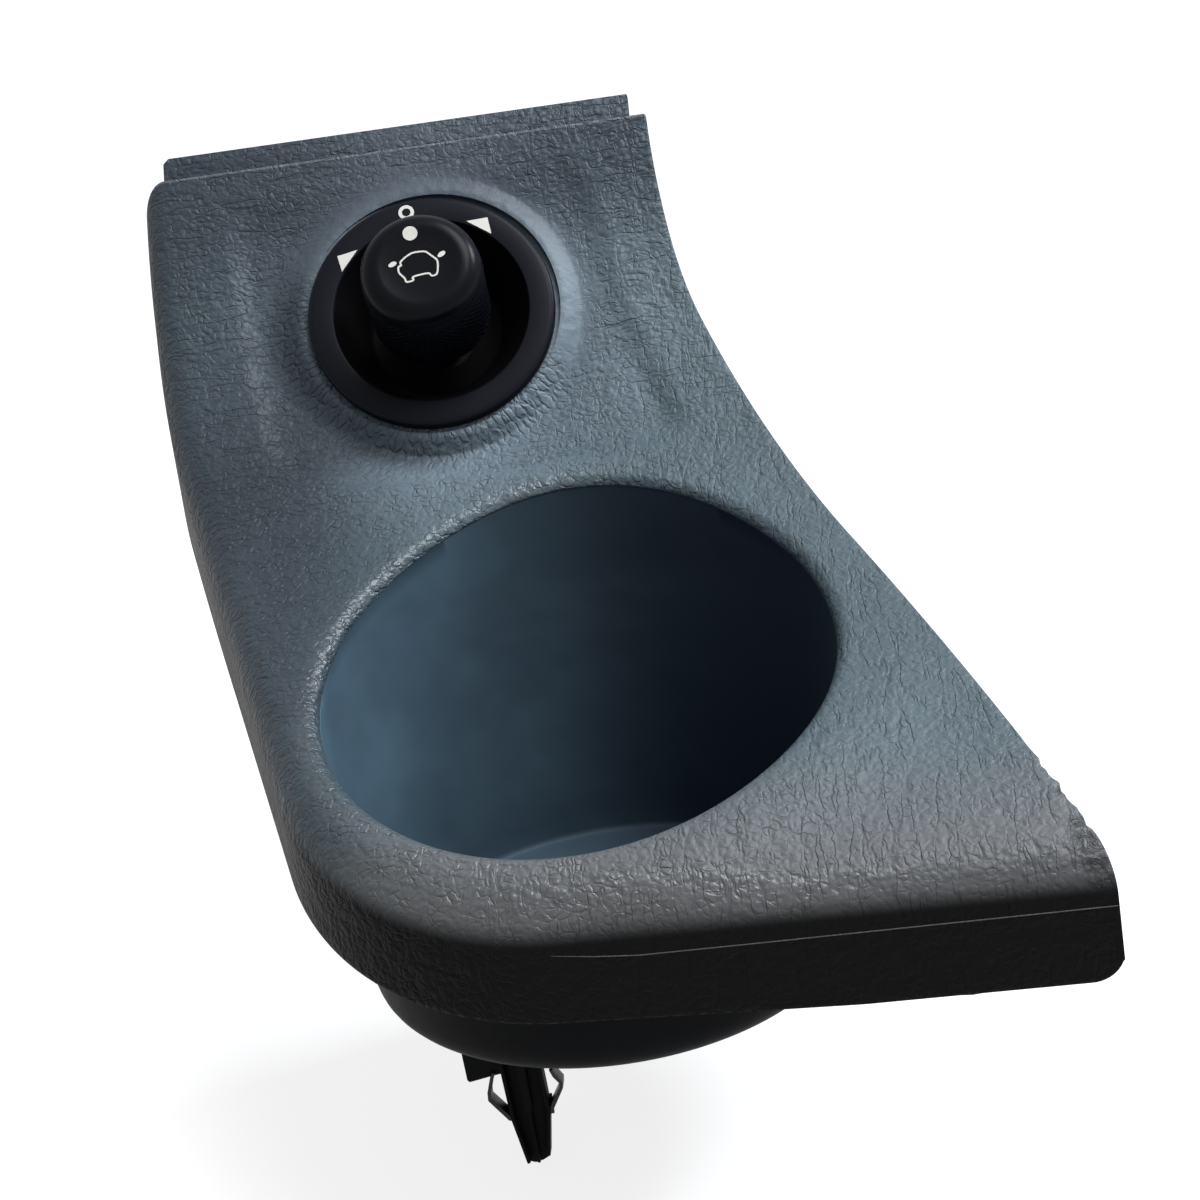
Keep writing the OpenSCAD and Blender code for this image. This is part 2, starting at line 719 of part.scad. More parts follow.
rotor_tube_r = 4;
rotor_reach = 9.2;
rotor_disc_t = 1.3;
rotor_low = pivot_z - rotor_reach;
rotor_slot_h = 5;
wiper_r = 8;
wiper_in = 4.6;
wiper_t = 0.3;
finger_r = 0.7;
socket_r = shaft_ball_r + slide_gap;

// Rotor that the shaft turns on the board, with the slots for the cross pin
module contact_rotor() {
    top = pivot_z + 2.4;
    slot = 2 * (cross_pin_r + slide_gap);
    color("#e2dfd4") in_switch() difference() {
        union() {
            bar(rotor_tube_r, rotor_low, top);
            bar(disc_r, rotor_low, rotor_low + rotor_disc_t);
            bar(board_hole_r - slide_gap, board_top - board_t + 2 * slide_gap, rotor_low + sink);
        }
        bar(socket_r, pivot_z - 4, top + 1);
        translate([-rotor_tube_r - 1, -slot / 2, pivot_z - 1.4]) cube([2 * rotor_tube_r + 2, slot, rotor_slot_h]);
        for (a = [arm_angle - 45, arm_angle, arm_angle + 45]) rotate([0, 0, a])
            translate([ball_at - 0.3, 0, rotor_low - 1])
                cylinder(r = ball_r, h = rotor_disc_t + 2.7, $fn = 32);
    }
}

// Thin contact ring under the rotor, with three fingers on the board
module wiper_contact() {
    color("#c9a648") in_switch() union() {
        tube(wiper_r, wiper_in, rotor_low - wiper_t, rotor_low);
        for (a = [0, 120, 240]) rotate([0, 0, a])
            translate([(wiper_r + wiper_in) / 2, 0, board_top + slide_gap / 2])
                cylinder(r = finger_r, h = rotor_low - 0.2 - board_top, $fn = 24);
    }
}

dome_gap = 0.35;
dome_top = pivot_z - dome_at * sin(tilt_max) - (pivot_z - bell_low + rocker_t) * cos(tilt_max) - dome_gap;

// Rubber mat with one switch dome under each arm of the rocker
module dome_mat() {
    sheet_t = 0.8;
    foot = board_top + sheet_t - slide_gap;
    color("#8a8d90") in_switch() difference() {
        union() {
            bar(housing_in - slide_gap, board_top, board_top + sheet_t);
            for (a = [0 : 90 : 270]) rotate([0, 0, a]) translate([dome_at, 0, foot])
                cylinder(r1 = 2.4, r2 = 1.4, h = dome_top - foot, $fn = 32);
        }
        bar(disc_r + 0.6, board_top - 1, board_top + 3);
        rotate([0, 0, arm_angle]) translate([detent_near - 1, -ball_r - 1.4, board_top - 1])
            cube([9, 2 * ball_r + 2.8, 3]);
    }
}

module contact_board() {
    color("#2f6b45") in_switch() difference() {
        bar(housing_in - slide_gap, board_top - board_t, board_top);
        bar(board_hole_r, board_top - 3, board_top + 1);
    }
}

// Steel ball that clicks into the rotor at its three positions
module detent_ball() {
    color("#c4c7cb") in_switch() rotate([0, 0, arm_angle])
        translate([ball_at, 0, detent_z]) sphere(r = ball_r, $fn = 48);
}

// Spring behind the ball, inside the housing's bore
module detent_spring() {
    near = ball_at + ball_r + 0.05;
    color("#b4b7bb") in_switch() rotate([0, 0, arm_angle])
        translate([near, 0, detent_z]) rotate([0, 90, 0])
            coil(ball_r - 0.4, ball_r - 0.4, detent_far - near - 0.05, detent_wire, 6, 12, 6);
}

trim_panel();
panel_clip();
switch_bezel();
switch_housing();
rear_cover();
retaining_spring_left();
retaining_spring_right();
knob_cap();
drive_shaft();
stick_stem();
rocker_cross();
gimbal_ring();
gimbal_pins_inner();
gimbal_pins_outer();
return_spring();
contact_rotor();
wiper_contact();
dome_mat();
contact_board();
terminal_pins();
detent_ball();
detent_spring();
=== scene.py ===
from functools import partial
from math import acos, atan2, cos, degrees, hypot, pi, radians, sin, tan

import bmesh
import bpy
import numpy as np
from mathutils import Euler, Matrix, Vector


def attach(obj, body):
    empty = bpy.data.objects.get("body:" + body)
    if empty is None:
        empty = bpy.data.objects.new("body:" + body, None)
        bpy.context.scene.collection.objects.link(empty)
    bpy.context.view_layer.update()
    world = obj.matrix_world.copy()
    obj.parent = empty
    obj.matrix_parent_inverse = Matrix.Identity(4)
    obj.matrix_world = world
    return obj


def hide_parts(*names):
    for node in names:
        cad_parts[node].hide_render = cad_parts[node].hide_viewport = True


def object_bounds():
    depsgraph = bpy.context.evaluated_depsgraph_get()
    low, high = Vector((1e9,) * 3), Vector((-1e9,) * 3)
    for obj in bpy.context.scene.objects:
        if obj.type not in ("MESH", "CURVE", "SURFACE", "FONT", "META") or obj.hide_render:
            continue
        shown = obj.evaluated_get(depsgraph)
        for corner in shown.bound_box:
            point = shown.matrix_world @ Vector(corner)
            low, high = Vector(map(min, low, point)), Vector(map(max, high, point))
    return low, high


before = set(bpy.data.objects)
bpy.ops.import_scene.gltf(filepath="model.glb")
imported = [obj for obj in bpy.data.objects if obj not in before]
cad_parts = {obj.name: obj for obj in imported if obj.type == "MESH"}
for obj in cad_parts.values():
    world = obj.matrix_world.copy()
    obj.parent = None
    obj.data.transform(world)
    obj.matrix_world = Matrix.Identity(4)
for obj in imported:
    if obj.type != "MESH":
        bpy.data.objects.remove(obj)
cad_low, cad_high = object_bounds()

# Sizes, in mm
FRONT_SLOPE, BACK_SLOPE = radians(19), radians(57)
BEND_Y, BEND_R = 22.5, 104.0
WALL, EDGE_R = 2.4, 5.0
SKIRT_H, SKIRT_LEAN, SKIRT_CORNER_R = 15.2, 0.5, 4.5
CORNER_R, CORNER_X, CORNER_Y = 45.0, -1.5, -3.0
FRONT_Y = CORNER_Y - CORNER_R
LEFT_LEAN, LEFT_TURN_R = radians(20), 95.0
RIGHT_X0, RIGHT_TURN_Y, BACK_Y = 72.5, 64.5, 88.0
RIGHT_FRONT, RIGHT_MID, RIGHT_BACK = (radians(a) for a in (20, 27.5, 3))
CUP_DEPTH, CUP_WALL, CUP_FLOOR_T, CUP_EDGE_R = 46.0, 2.2, 2.2, 4.5
CUP_DRAFT = radians(2.8)
CUP_MOUTH_R = 38.5
CUP_FLOOR_R = CUP_MOUTH_R - CUP_DEPTH * tan(CUP_DRAFT)
LIP_R, LIP_PROUD, LIP_RAISE = 2.3, 0.18, 1.7
BORE_FLARE, BORE_LEAN = 1.3, 0.8 / CUP_DEPTH
SKIRT_MORE = 1.4
TRIM = 0.35
JOIN_Y = 44.0

SWITCH_X, SWITCH_Y = -24.0, 69.4
SWITCH_TILT, SWITCH_TURN = radians(53.5), radians(7.2)
BEZEL_H, BEZEL_T, BEZEL_R, FACE_R = 2.9, 1.8, 21.6, 17.0
BORE_R, COLLAR_WALL, COLLAR_H = 19.0, 2.2, 8.0
SEAT_R = 22.4
BOWL_FLOOR_R, BOWL_DEPTH, BOWL_HOLE_R = 11.5, 10.5, 7.2
POCKET = dict(front=46.0, back=85.0, left=15.0, right=10.0, r=7.0, depth=1.0, soft=5.0)
KNOB_R, KNOB_H, KNOB_LOW = 10.4, 18.25, -1.0
VALLEY_TIP = radians(5)
# edges sharper than this stay crisp in the shading
SHARP_FROM = radians(38)


# Panel form
BEND_END_Y = BEND_Y + BEND_R * (sin(BACK_SLOPE) - sin(FRONT_SLOPE))
BEND_START_Z = CUP_DEPTH + BEND_Y * tan(FRONT_SLOPE)
BEND_END_Z = BEND_START_Z + BEND_R * (cos(FRONT_SLOPE) - cos(BACK_SLOPE))


def slope_at(y):
    """Slope of the panel at y, in radians."""
    s = sin(FRONT_SLOPE) + (np.clip(y, BEND_Y, BEND_END_Y) - BEND_Y) / BEND_R
    return np.arcsin(s)


def top_z(y):
    """Height of the panel's surface at y."""
    y = np.asarray(y, float)
    bend = BEND_START_Z + BEND_R * (cos(FRONT_SLOPE) - np.cos(slope_at(y)))
    flat = CUP_DEPTH + y * tan(FRONT_SLOPE)
    back = BEND_END_Z + (y - BEND_END_Y) * tan(BACK_SLOPE)
    return np.where(y <= BEND_Y, flat, np.where(y >= BEND_END_Y, back, bend))


def under_z(y, down):
    """Height of the surface that lies down below the panel's, square to it."""
    return top_z(y) - down / np.cos(slope_at(y))


LEFT_FOOT = (CORNER_X - CORNER_R * cos(LEFT_LEAN), CORNER_Y - CORNER_R * sin(LEFT_LEAN))
LEFT_TURN_Y = BACK_Y - LEFT_TURN_R * sin(LEFT_LEAN)
LEFT_TURN_X = LEFT_FOOT[0] - (LEFT_TURN_Y - LEFT_FOOT[1]) * tan(LEFT_LEAN)


def left_lean_at(y):
    """Lean of the left edge in plan at y, in radians."""
    return np.where(y <= LEFT_TURN_Y, LEFT_LEAN, np.arcsin(np.clip((BACK_Y - y) / LEFT_TURN_R, 0, 0.4)))


def left_x(y):
    """Left edge of the panel at y."""
    turned = LEFT_TURN_X + LEFT_TURN_R * (cos(LEFT_LEAN) - np.cos(left_lean_at(y)))
    return np.where(y <= LEFT_TURN_Y, LEFT_FOOT[0] - (y - LEFT_FOOT[1]) * tan(LEFT_LEAN), turned)


RIGHT_R1 = (RIGHT_TURN_Y - FRONT_Y) / (sin(RIGHT_MID) - sin(RIGHT_FRONT))
RIGHT_R2 = (BACK_Y - RIGHT_TURN_Y) / (sin(RIGHT_MID) - sin(RIGHT_BACK))
RIGHT_TURN_X = RIGHT_X0 - RIGHT_R1 * (cos(RIGHT_FRONT) - cos(RIGHT_MID))


def right_x(y):
    """Right edge of the panel at y: two arcs that meet where the edge is widest."""
    y = np.asarray(y, float)
    a = np.arcsin(np.clip(sin(RIGHT_FRONT) + (y - FRONT_Y) / RIGHT_R1, -1, 1))
    b = np.arcsin(np.clip(sin(RIGHT_MID) - (y - RIGHT_TURN_Y) / RIGHT_R2, -1, 1))
    front = RIGHT_X0 - RIGHT_R1 * (cos(RIGHT_FRONT) - np.cos(a))
    back = RIGHT_TURN_X - RIGHT_R2 * (np.cos(b) - cos(RIGHT_MID))
    return np.where(y <= RIGHT_TURN_Y, front, back)


def smoothstep(t):
    t = np.clip(t, 0, 1)
    return t * t * (3 - 2 * t)


def ripple(x, *waves):
    """A fixed uneven line: a sum of sines, each (length in mm, height, start)."""
    return sum(h * np.sin(2 * pi * x / length + start) for length, h, start in waves)


def pocket_down(x, y):
    """How far the shallow pocket round the switch lies below the panel, square to it."""
    p = POCKET
    sides = [
        y - p["front"],
        p["back"] - y,
        x - (left_x(y) + p["left"]),
        right_x(y) - p["right"] - x,
    ]
    inside = np.minimum.reduce([np.minimum(s, p["r"]) for s in sides])
    short = np.sqrt(sum(np.maximum(p["r"] - s, 0) ** 2 for s in sides))
    reach = np.where(inside > 0, p["r"] - short, 0)
    return p["depth"] * smoothstep(reach / p["soft"])


def lip_raise(x, y):
    """The front of the cup's lip stands a little proud of the panel and fades out before the skirt."""
    rho = np.maximum(np.hypot(x, y), 1e-6)
    front = smoothstep((0.15 - y / rho) / 1.0) * (1 + 0.5 * x / rho)
    return LIP_RAISE * front * (1 - smoothstep((rho - 41.0) / (7.0 + 11.0 * np.clip(x / rho, 0, 1))))


# switch frame: the bezel's face is at height 0
SWITCH_A = np.array([cos(SWITCH_TURN), sin(SWITCH_TURN), 0.0])
SWITCH_DOWN = np.array([sin(SWITCH_TURN), -cos(SWITCH_TURN), 0.0])
SWITCH_N = sin(SWITCH_TILT) * SWITCH_DOWN + np.array([0.0, 0.0, cos(SWITCH_TILT)])
SWITCH_B = np.cross(SWITCH_N, SWITCH_A)
SWITCH_POS = np.array([SWITCH_X, SWITCH_Y, float(top_z(SWITCH_Y))]) + BEZEL_H * SWITCH_N


def from_switch(a, b, h):
    """Points of the switch's own frame, in the part's frame."""
    a, b, h = np.broadcast_arrays(a, b, h)
    return SWITCH_POS + a[..., None] * SWITCH_A + b[..., None] * SWITCH_B + h[..., None] * SWITCH_N


def to_switch(p):
    """Points of the part's frame, in the switch's own frame."""
    d = np.asarray(p) - SWITCH_POS
    return d @ SWITCH_A, d @ SWITCH_B, d @ SWITCH_N


def height_over_switch(a, b, down, pocket):
    """Height in the switch's frame of the surface that lies down below the panel's."""
    h = np.full(np.shape(a), -BEZEL_H)
    for _ in range(8):
        p = from_switch(a, b, h)
        x, y = p[..., 0], p[..., 1]
        lower = down + (pocket_down(x, y) if pocket else 0)
        gap = p[..., 2] - under_z(y, lower)
        h = h - gap / (SWITCH_N[2] - np.tan(slope_at(y)) * SWITCH_N[1])
    return h


def boss_height(r):
    """Flank of the raised boss round the bezel: a short round, then a steep cone."""
    fall, round_w, rim = 1.1, 1.5, 0.35
    t = np.maximum(r - SEAT_R - rim, 0)
    return -BEZEL_T - np.where(t < round_w, fall * t * t / (2 * round_w), fall * (t - round_w / 2))


def valley(a, b):
    """The panel dips round the lower half of the boss: a cone in the switch's frame, tipped downhill."""
    cone = np.interp(np.hypot(a, b), [SEAT_R, 26.0, 60.0], [-0.2, -1.4, 20.0])
    return cone + b * tan(VALLEY_TIP)


def blend_up(a, b, k):
    """The higher of two heights, with a soft valley of width k between them."""
    h = np.maximum(k - np.abs(a - b), 0) / k
    return np.maximum(a, b) + h * h * k / 4


# Mesh tools
class Shell:
    """Collects points and faces in mm, then makes one object of them."""

    def __init__(self):
        self.points, self.faces, self.finish = [], [], []

    def add(self, points):
        start = sum(len(p) for p in self.points)
        points = np.asarray(points, float).reshape(-1, 3)
        self.points.append(points)
        return np.arange(start, start + len(points))

    def face(self, ids, finish=0):
        self.faces.append([int(i) for i in ids])
        self.finish.append(finish)

    def grid(self, rows, finish=0, closed=False):
        """Quads between rows of equal length. finish is one slot, or one for each gap between rows."""
        ids = [self.add(r) for r in rows]
        n = len(ids[0])
        for j in range(len(ids) - 1):
            slot = finish if isinstance(finish, int) else finish[j]
            for i in range(n if closed else n - 1):
                k = (i + 1) % n
                self.face([ids[j][i], ids[j][k], ids[j + 1][k], ids[j + 1][i]], slot)
        return ids

    def build(self, name, finishes, merge=0.002):
        """Makes the object: joins points closer than merge, turns the faces outwards and shades them."""
        mesh = bpy.data.meshes.new(name)
        mesh.from_pydata((np.vstack(self.points) / 1000).tolist(), [], self.faces)
        for m in finishes:
            mesh.materials.append(m)
        mesh.polygons.foreach_set("material_index", self.finish)
        bm = bmesh.new()
        bm.from_mesh(mesh)
        bmesh.ops.remove_doubles(bm, verts=bm.verts, dist=merge / 1000)
        bmesh.ops.dissolve_degenerate(bm, edges=bm.edges, dist=1e-7)
        bmesh.ops.recalc_face_normals(bm, faces=bm.faces)
        for f in bm.faces:
            f.smooth = True
        bm.to_mesh(mesh)
        bm.free()
        mesh.set_sharp_from_angle(angle=SHARP_FROM)
        piece = bpy.data.objects.new(name, mesh)
        bpy.context.scene.collection.objects.link(piece)
        return piece


def add_prism(shell, outline, place, low, high, bevel, finish):
    """A flat piece with softened edges. place turns (u, v, height) into the part's frame."""
    bm = bmesh.new()
    base = [bm.verts.new((u, v, low)) for u, v in outline]
    bottom = bm.faces.new(base)
    raised = bmesh.ops.extrude_face_region(bm, geom=[bottom])
    for v in raised["geom"]:
        if isinstance(v, bmesh.types.BMVert):
            v.co.z = high
    if bevel:
        bmesh.ops.bevel(bm, geom=list(bm.edges), offset=bevel, segments=2, affect="EDGES", profile=0.6)
    bm.verts.index_update()
    ids = shell.add(place(np.array([v.co[:] for v in bm.verts])))
    for f in bm.faces:
        shell.face([ids[v.index] for v in f.verts], finish)
    bm.free()


def lathe(shell, profile, turns, finish=0, bump=None):
    """Turns a profile about the switch's axis. Each of its points is r and height, and a third value says
    how much of bump(angle, height) is added to r there."""
    a = np.linspace(0, 2 * pi, turns, endpoint=False)
    rows = []
    for r, h, *share in profile:
        out = r + bump(a, h) * share[0] if share else np.full(turns, r)
        rows.append(from_switch(out * np.cos(a), out * np.sin(a), h))
    shell.grid(rows, finish, closed=True)


# Materials

# sockets of the colour mix: share, first colour, second colour, and its outcome
SHARE, FIRST, SECOND, MIXED = 0, 6, 7, 2
# distance in mm from one mark of the panel's grain to the next; the pores are finer on the real panel and
# are drawn as coarse as they need to show
GRAIN = dict(
    wander=2.0, upright=1.923, level=2.0, net=1.3514, pebble=0.8696, pore=0.25, swell=2.2222,
    gather=1.4286, patch=5.0, gap=3.7037, broken=2.5, mottle=28.571, torn=1.1111,
)
# spots by the open edge at the front that are scuffed: place and radius
SCUFFS = (
    (68.1, -34.6, 34.4, 0.9),
    (69.2, -40.5, 32.4, 1.3),
    (69.6, -43.2, 31.4, 1.7),
    (70.6, -46.4, 29.4, 1.6),
    (71.5, -47.8, 26.6, 1.8),
)


def linear(colour):
    """An sRGB hex colour in the linear values that a shader takes."""
    parts = [int(colour[i : i + 2], 16) / 255 for i in (1, 3, 5)]
    return (*(p / 12.92 if p <= 0.04045 else ((p + 0.055) / 1.055) ** 2.4 for p in parts), 1.0)


# the setting that the second word of a node's kind stands for
MODE = dict(Math="operation", VectorMath="operation", MapRange="interpolation_type")
MODE.update(TexVoronoi="feature", Mix="data_type")
RAMP = "MapRange SMOOTHSTEP"
TIMES, TIMES_PLUS, MINUS, HIGHER = "Math MULTIPLY", "Math MULTIPLY_ADD", "Math SUBTRACT", "Math MAXIMUM"


def shader(tree, kind, sockets=(), give=0):
    """Adds one node, such as "Math ADD", and fills its sockets with values or with other nodes' outputs."""
    kind, _, mode = kind.partition(" ")
    node = tree.nodes.new("ShaderNode" + kind)
    if mode:
        setattr(node, MODE[kind], mode)
    for key, value in sockets.items() if isinstance(sockets, dict) else enumerate(sockets):
        if isinstance(value, bpy.types.NodeSocket):
            tree.links.new(value, node.inputs[key])
        else:
            node.inputs[key].default_value = value
    return node.outputs[give] if len(node.outputs) else None


def new_material(name):
    """An empty material, what adds nodes to it, and the piece's own coordinates in mm, so that patterns
    keep their real size."""
    m = bpy.data.materials.new(name)
    m.use_nodes = True
    m.node_tree.nodes.clear()
    add = partial(shader, m.node_tree)
    own = add("TexCoord", give="Object")
    return m, add, add("Mapping", {"Vector": own, "Scale": (1000, 1000, 1000)})


def close_material(add, surface, relief):
    """Ends a material: relief layers of (height, depth in mm) on top of one another, surface and output."""
    normal = None
    for height, depth in relief:
        layer = {"Strength": 1.0, "Distance": depth / 1000, "Height": height}
        if normal:
            layer["Normal"] = normal
        normal = add("Bump", layer)
    done = add("BsdfPrincipled", {**surface, "Normal": normal})
    add("OutputMaterial", {"Surface": done})


def creases(add, where, stretch, apart, width):
    """Thin wavy valleys, where a stretched noise crosses its middle: 1 in the crease, 0 beside it."""
    pulled = add("Mapping", {"Vector": where, "Scale": stretch})
    wave = add("TexNoise", {"Vector": pulled, "Scale": 1 / apart, "Detail": 1.5, "Roughness": 0.45})
    away = add("Math ABSOLUTE", (add(MINUS, (wave, 0.5)),))
    return add(RAMP, {0: away, 2: width, 3: 1.0, 4: 0.0})


def panel_zones(add, mm):
    """Where a point of the panel lies: each zone runs from 0 to 1 between two places in mm."""
    place = {}
    x = add("SeparateXYZ", (mm,), "X")
    y = add("SeparateXYZ", (mm,), "Y")
    off = add("VectorMath SUBTRACT", (mm, tuple(SWITCH_POS)))
    across = add("VectorMath DOT_PRODUCT", (off, tuple(SWITCH_A)), "Value")
    along = add("VectorMath DOT_PRODUCT", (off, tuple(SWITCH_B)), "Value")
    flat = add("CombineXYZ", {"X": across, "Y": along})
    from_switch_axis = add("VectorMath LENGTH", (flat,), "Value")
    level = add("VectorMath MULTIPLY", (mm, (1, 1, 0)))
    from_cup_axis = add("VectorMath LENGTH", (level,), "Value")
    slant = add(TIMES_PLUS, (across, 0.55, along))
    normal = add("NewGeometry", give="Normal")
    upward = add("SeparateXYZ", (normal,), "Z")
    for name, source, start, end in (
        ("right", x, -48.0, 20.0),
        ("back", y, 36.0, 66.0),
        ("left", x, -30.0, -52.0),
        ("above_ring", slant, -9.0, 3.0),
        ("by_ring_above", from_switch_axis, 30.5, 24.5),
        ("by_ring_below", from_switch_axis, 31.0, 26.0),
        ("painted_light_by_switch", from_switch_axis, 50.0, 27.0),
        ("boss", from_switch_axis, 38.0, 34.0),
        ("left_of_ring", across, 8.0, -10.0),
        ("cup_mouth", from_cup_axis, 44.0, 43.0),
        ("cup_lip", from_cup_axis, 44.0, 41.5),
        ("lit_lip", x, 14.0, -12.0),
        ("front", y, -20.0, -46.0),
        ("front_crest", y, -30.0, -40.0),
        ("short_of_corner", x, 56.0, 30.0),
        ("top", y, 72.0, 84.0),
        ("top_right", x, -30.0, 0.0),
        ("left_flank", x, -24.0, -50.0),
        ("edge_from", y, BACK_Y - 0.65, BACK_Y - 0.5),
        ("edge_to", y, BACK_Y + 0.1, BACK_Y - 0.1),
        ("facing_up", upward, 0.08, 0.52),
        ("crest_high", upward, 0.88, 0.75),
        ("crest_low", upward, 0.3, 0.6),
    ):
        place[name] = add(RAMP, (source, start, end))
    place["x"], place["y"] = x, y
    place["turn"] = add("Math ARCTAN2", (along, across))
    place["from_switch_axis"] = from_switch_axis
    return place


def leather_folds(add, mm, bent, zone):
    """Folds of the leather grain, 1 in a fold: upright ones to the right and in front, level ones at the
    left and at the back, and a net of cells everywhere, all in broken patches."""
    upright = creases(add, bent, (1.0, 0.13, 0.13), GRAIN["upright"], 0.05)
    level = creases(add, bent, (0.15, 0.85, 0.85), GRAIN["level"], 0.055)
    pulled = add("Mapping", {"Vector": bent, "Scale": (0.8, 1.0, 1.0)})
    edge = add("TexVoronoi DISTANCE_TO_EDGE", {"Vector": pulled, "Scale": 1 / GRAIN["net"]})
    net = add(RAMP, {0: edge, 2: 0.17, 3: 1.0, 4: 0.0})
    spread = {}
    for name, detail, start, end, least, most in (
        ("patch", 2.0, 0.36, 0.56, 0.0, 0.8),
        ("gap", 2.0, 0.64, 0.44, 0.0, 1.0),
        ("broken", 1.0, 0.35, 0.65, 0.12, 0.72),
    ):
        cloud = add("TexNoise", {"Vector": mm, "Scale": 1 / GRAIN[name], "Detail": detail})
        spread[name] = add(RAMP, (cloud, start, end, least, most))
    finer = add(RAMP, (zone["x"], 0.0, 40.0, 1.0, 0.55))
    wide = add(HIGHER, (zone["back"], zone["left"]))
    folds = 0.0
    for fold, patches, area in (
        (upright, spread["patch"], zone["right"]),
        (level, spread["gap"], wide),
        (net, spread["broken"], finer),
    ):
        some = add(TIMES, (fold, patches))
        folds = add(HIGHER, (folds, add(TIMES, (some, area))))
    return folds


def torn_spots(add, bent):
    """The scuffed spots, 1 where the surface is torn."""
    scuffs = 0.0
    for *centre, size in SCUFFS:
        far = add("VectorMath DISTANCE", (bent, centre), "Value")
        spot = add(RAMP, (far, size + 1.2, size * 0.4))
        scuffs = add(HIGHER, (scuffs, spot))
    ragged = add("TexNoise", {"Vector": bent, "Scale": 1 / GRAIN["torn"], "Detail": 3.0, "Roughness": 0.7})
    ragged = add(RAMP, (ragged, 0.4, 0.58))
    return add(TIMES, (scuffs, ragged))


def panel_colour(add, zone, painted_lit_tops, mottle, folds, torn, close):
    """The upward faces, the boss and the cup's mouth are painted light blue-grey, and the faces that turn
    away, the skirt most, are painted dark and warm: painted light and shade.
    Each layer is (share, how much of it at most, colour)."""
    colour = {SHARE: mottle, FIRST: linear("#45535a"), SECOND: linear("#4d5c63")}
    colour = add("Mix RGBA", colour, MIXED)
    far = {SHARE: zone["top_right"], FIRST: linear("#3f464f"), SECOND: linear("#2b353f")}
    far = add("Mix RGBA", far, MIXED)
    # painted shade: the boss's flank below the ring and to its left is painted darker
    painted_shade_below_ring = add(TIMES, (close, zone["left_of_ring"]))
    # painted shade: the left of the panel is painted darker, more so towards the front
    depth = add(RAMP, (zone["y"], 84.0, 40.0, 0.45, 0.9))
    painted_shade_left = add(TIMES, (depth, zone["left_flank"]))
    # painted shade: the faces that turn away from the light, the skirt most, take the dark warm colour
    skirt = add(MINUS, (1.0, painted_lit_tops))
    # painted highlight: a pale line along the back edge, where its rounded trim catches the light
    painted_highlight_back_edge = add(TIMES, (zone["edge_from"], zone["edge_to"]))
    for share, most, layer in (
        (zone["front"], 1.0, linear("#5c5e60")),
        # painted light: the steep panel round the switch is painted lighter than the rest
        (zone["painted_light_by_switch"], 0.9, linear("#687680")),
        (zone["top"], 0.8, far),
        (painted_shade_below_ring, 0.5, linear("#2a323b")),
        (painted_shade_left, 1.0, linear("#2a333c")),
        (skirt, 1.0, linear("#161514")),
        # painted shade in the folds of the grain, and real wear on the scuffed spots that the folds also
        # take in
        (folds, 0.26, linear("#1b2025")),
        (painted_highlight_back_edge, 0.55, linear("#7a8288")),
        (torn, 0.75, linear("#1d1e20")),
    ):
        share = add(TIMES, (share, most))
        colour = add("Mix RGBA", {SHARE: share, FIRST: colour, SECOND: layer}, MIXED)
    return colour


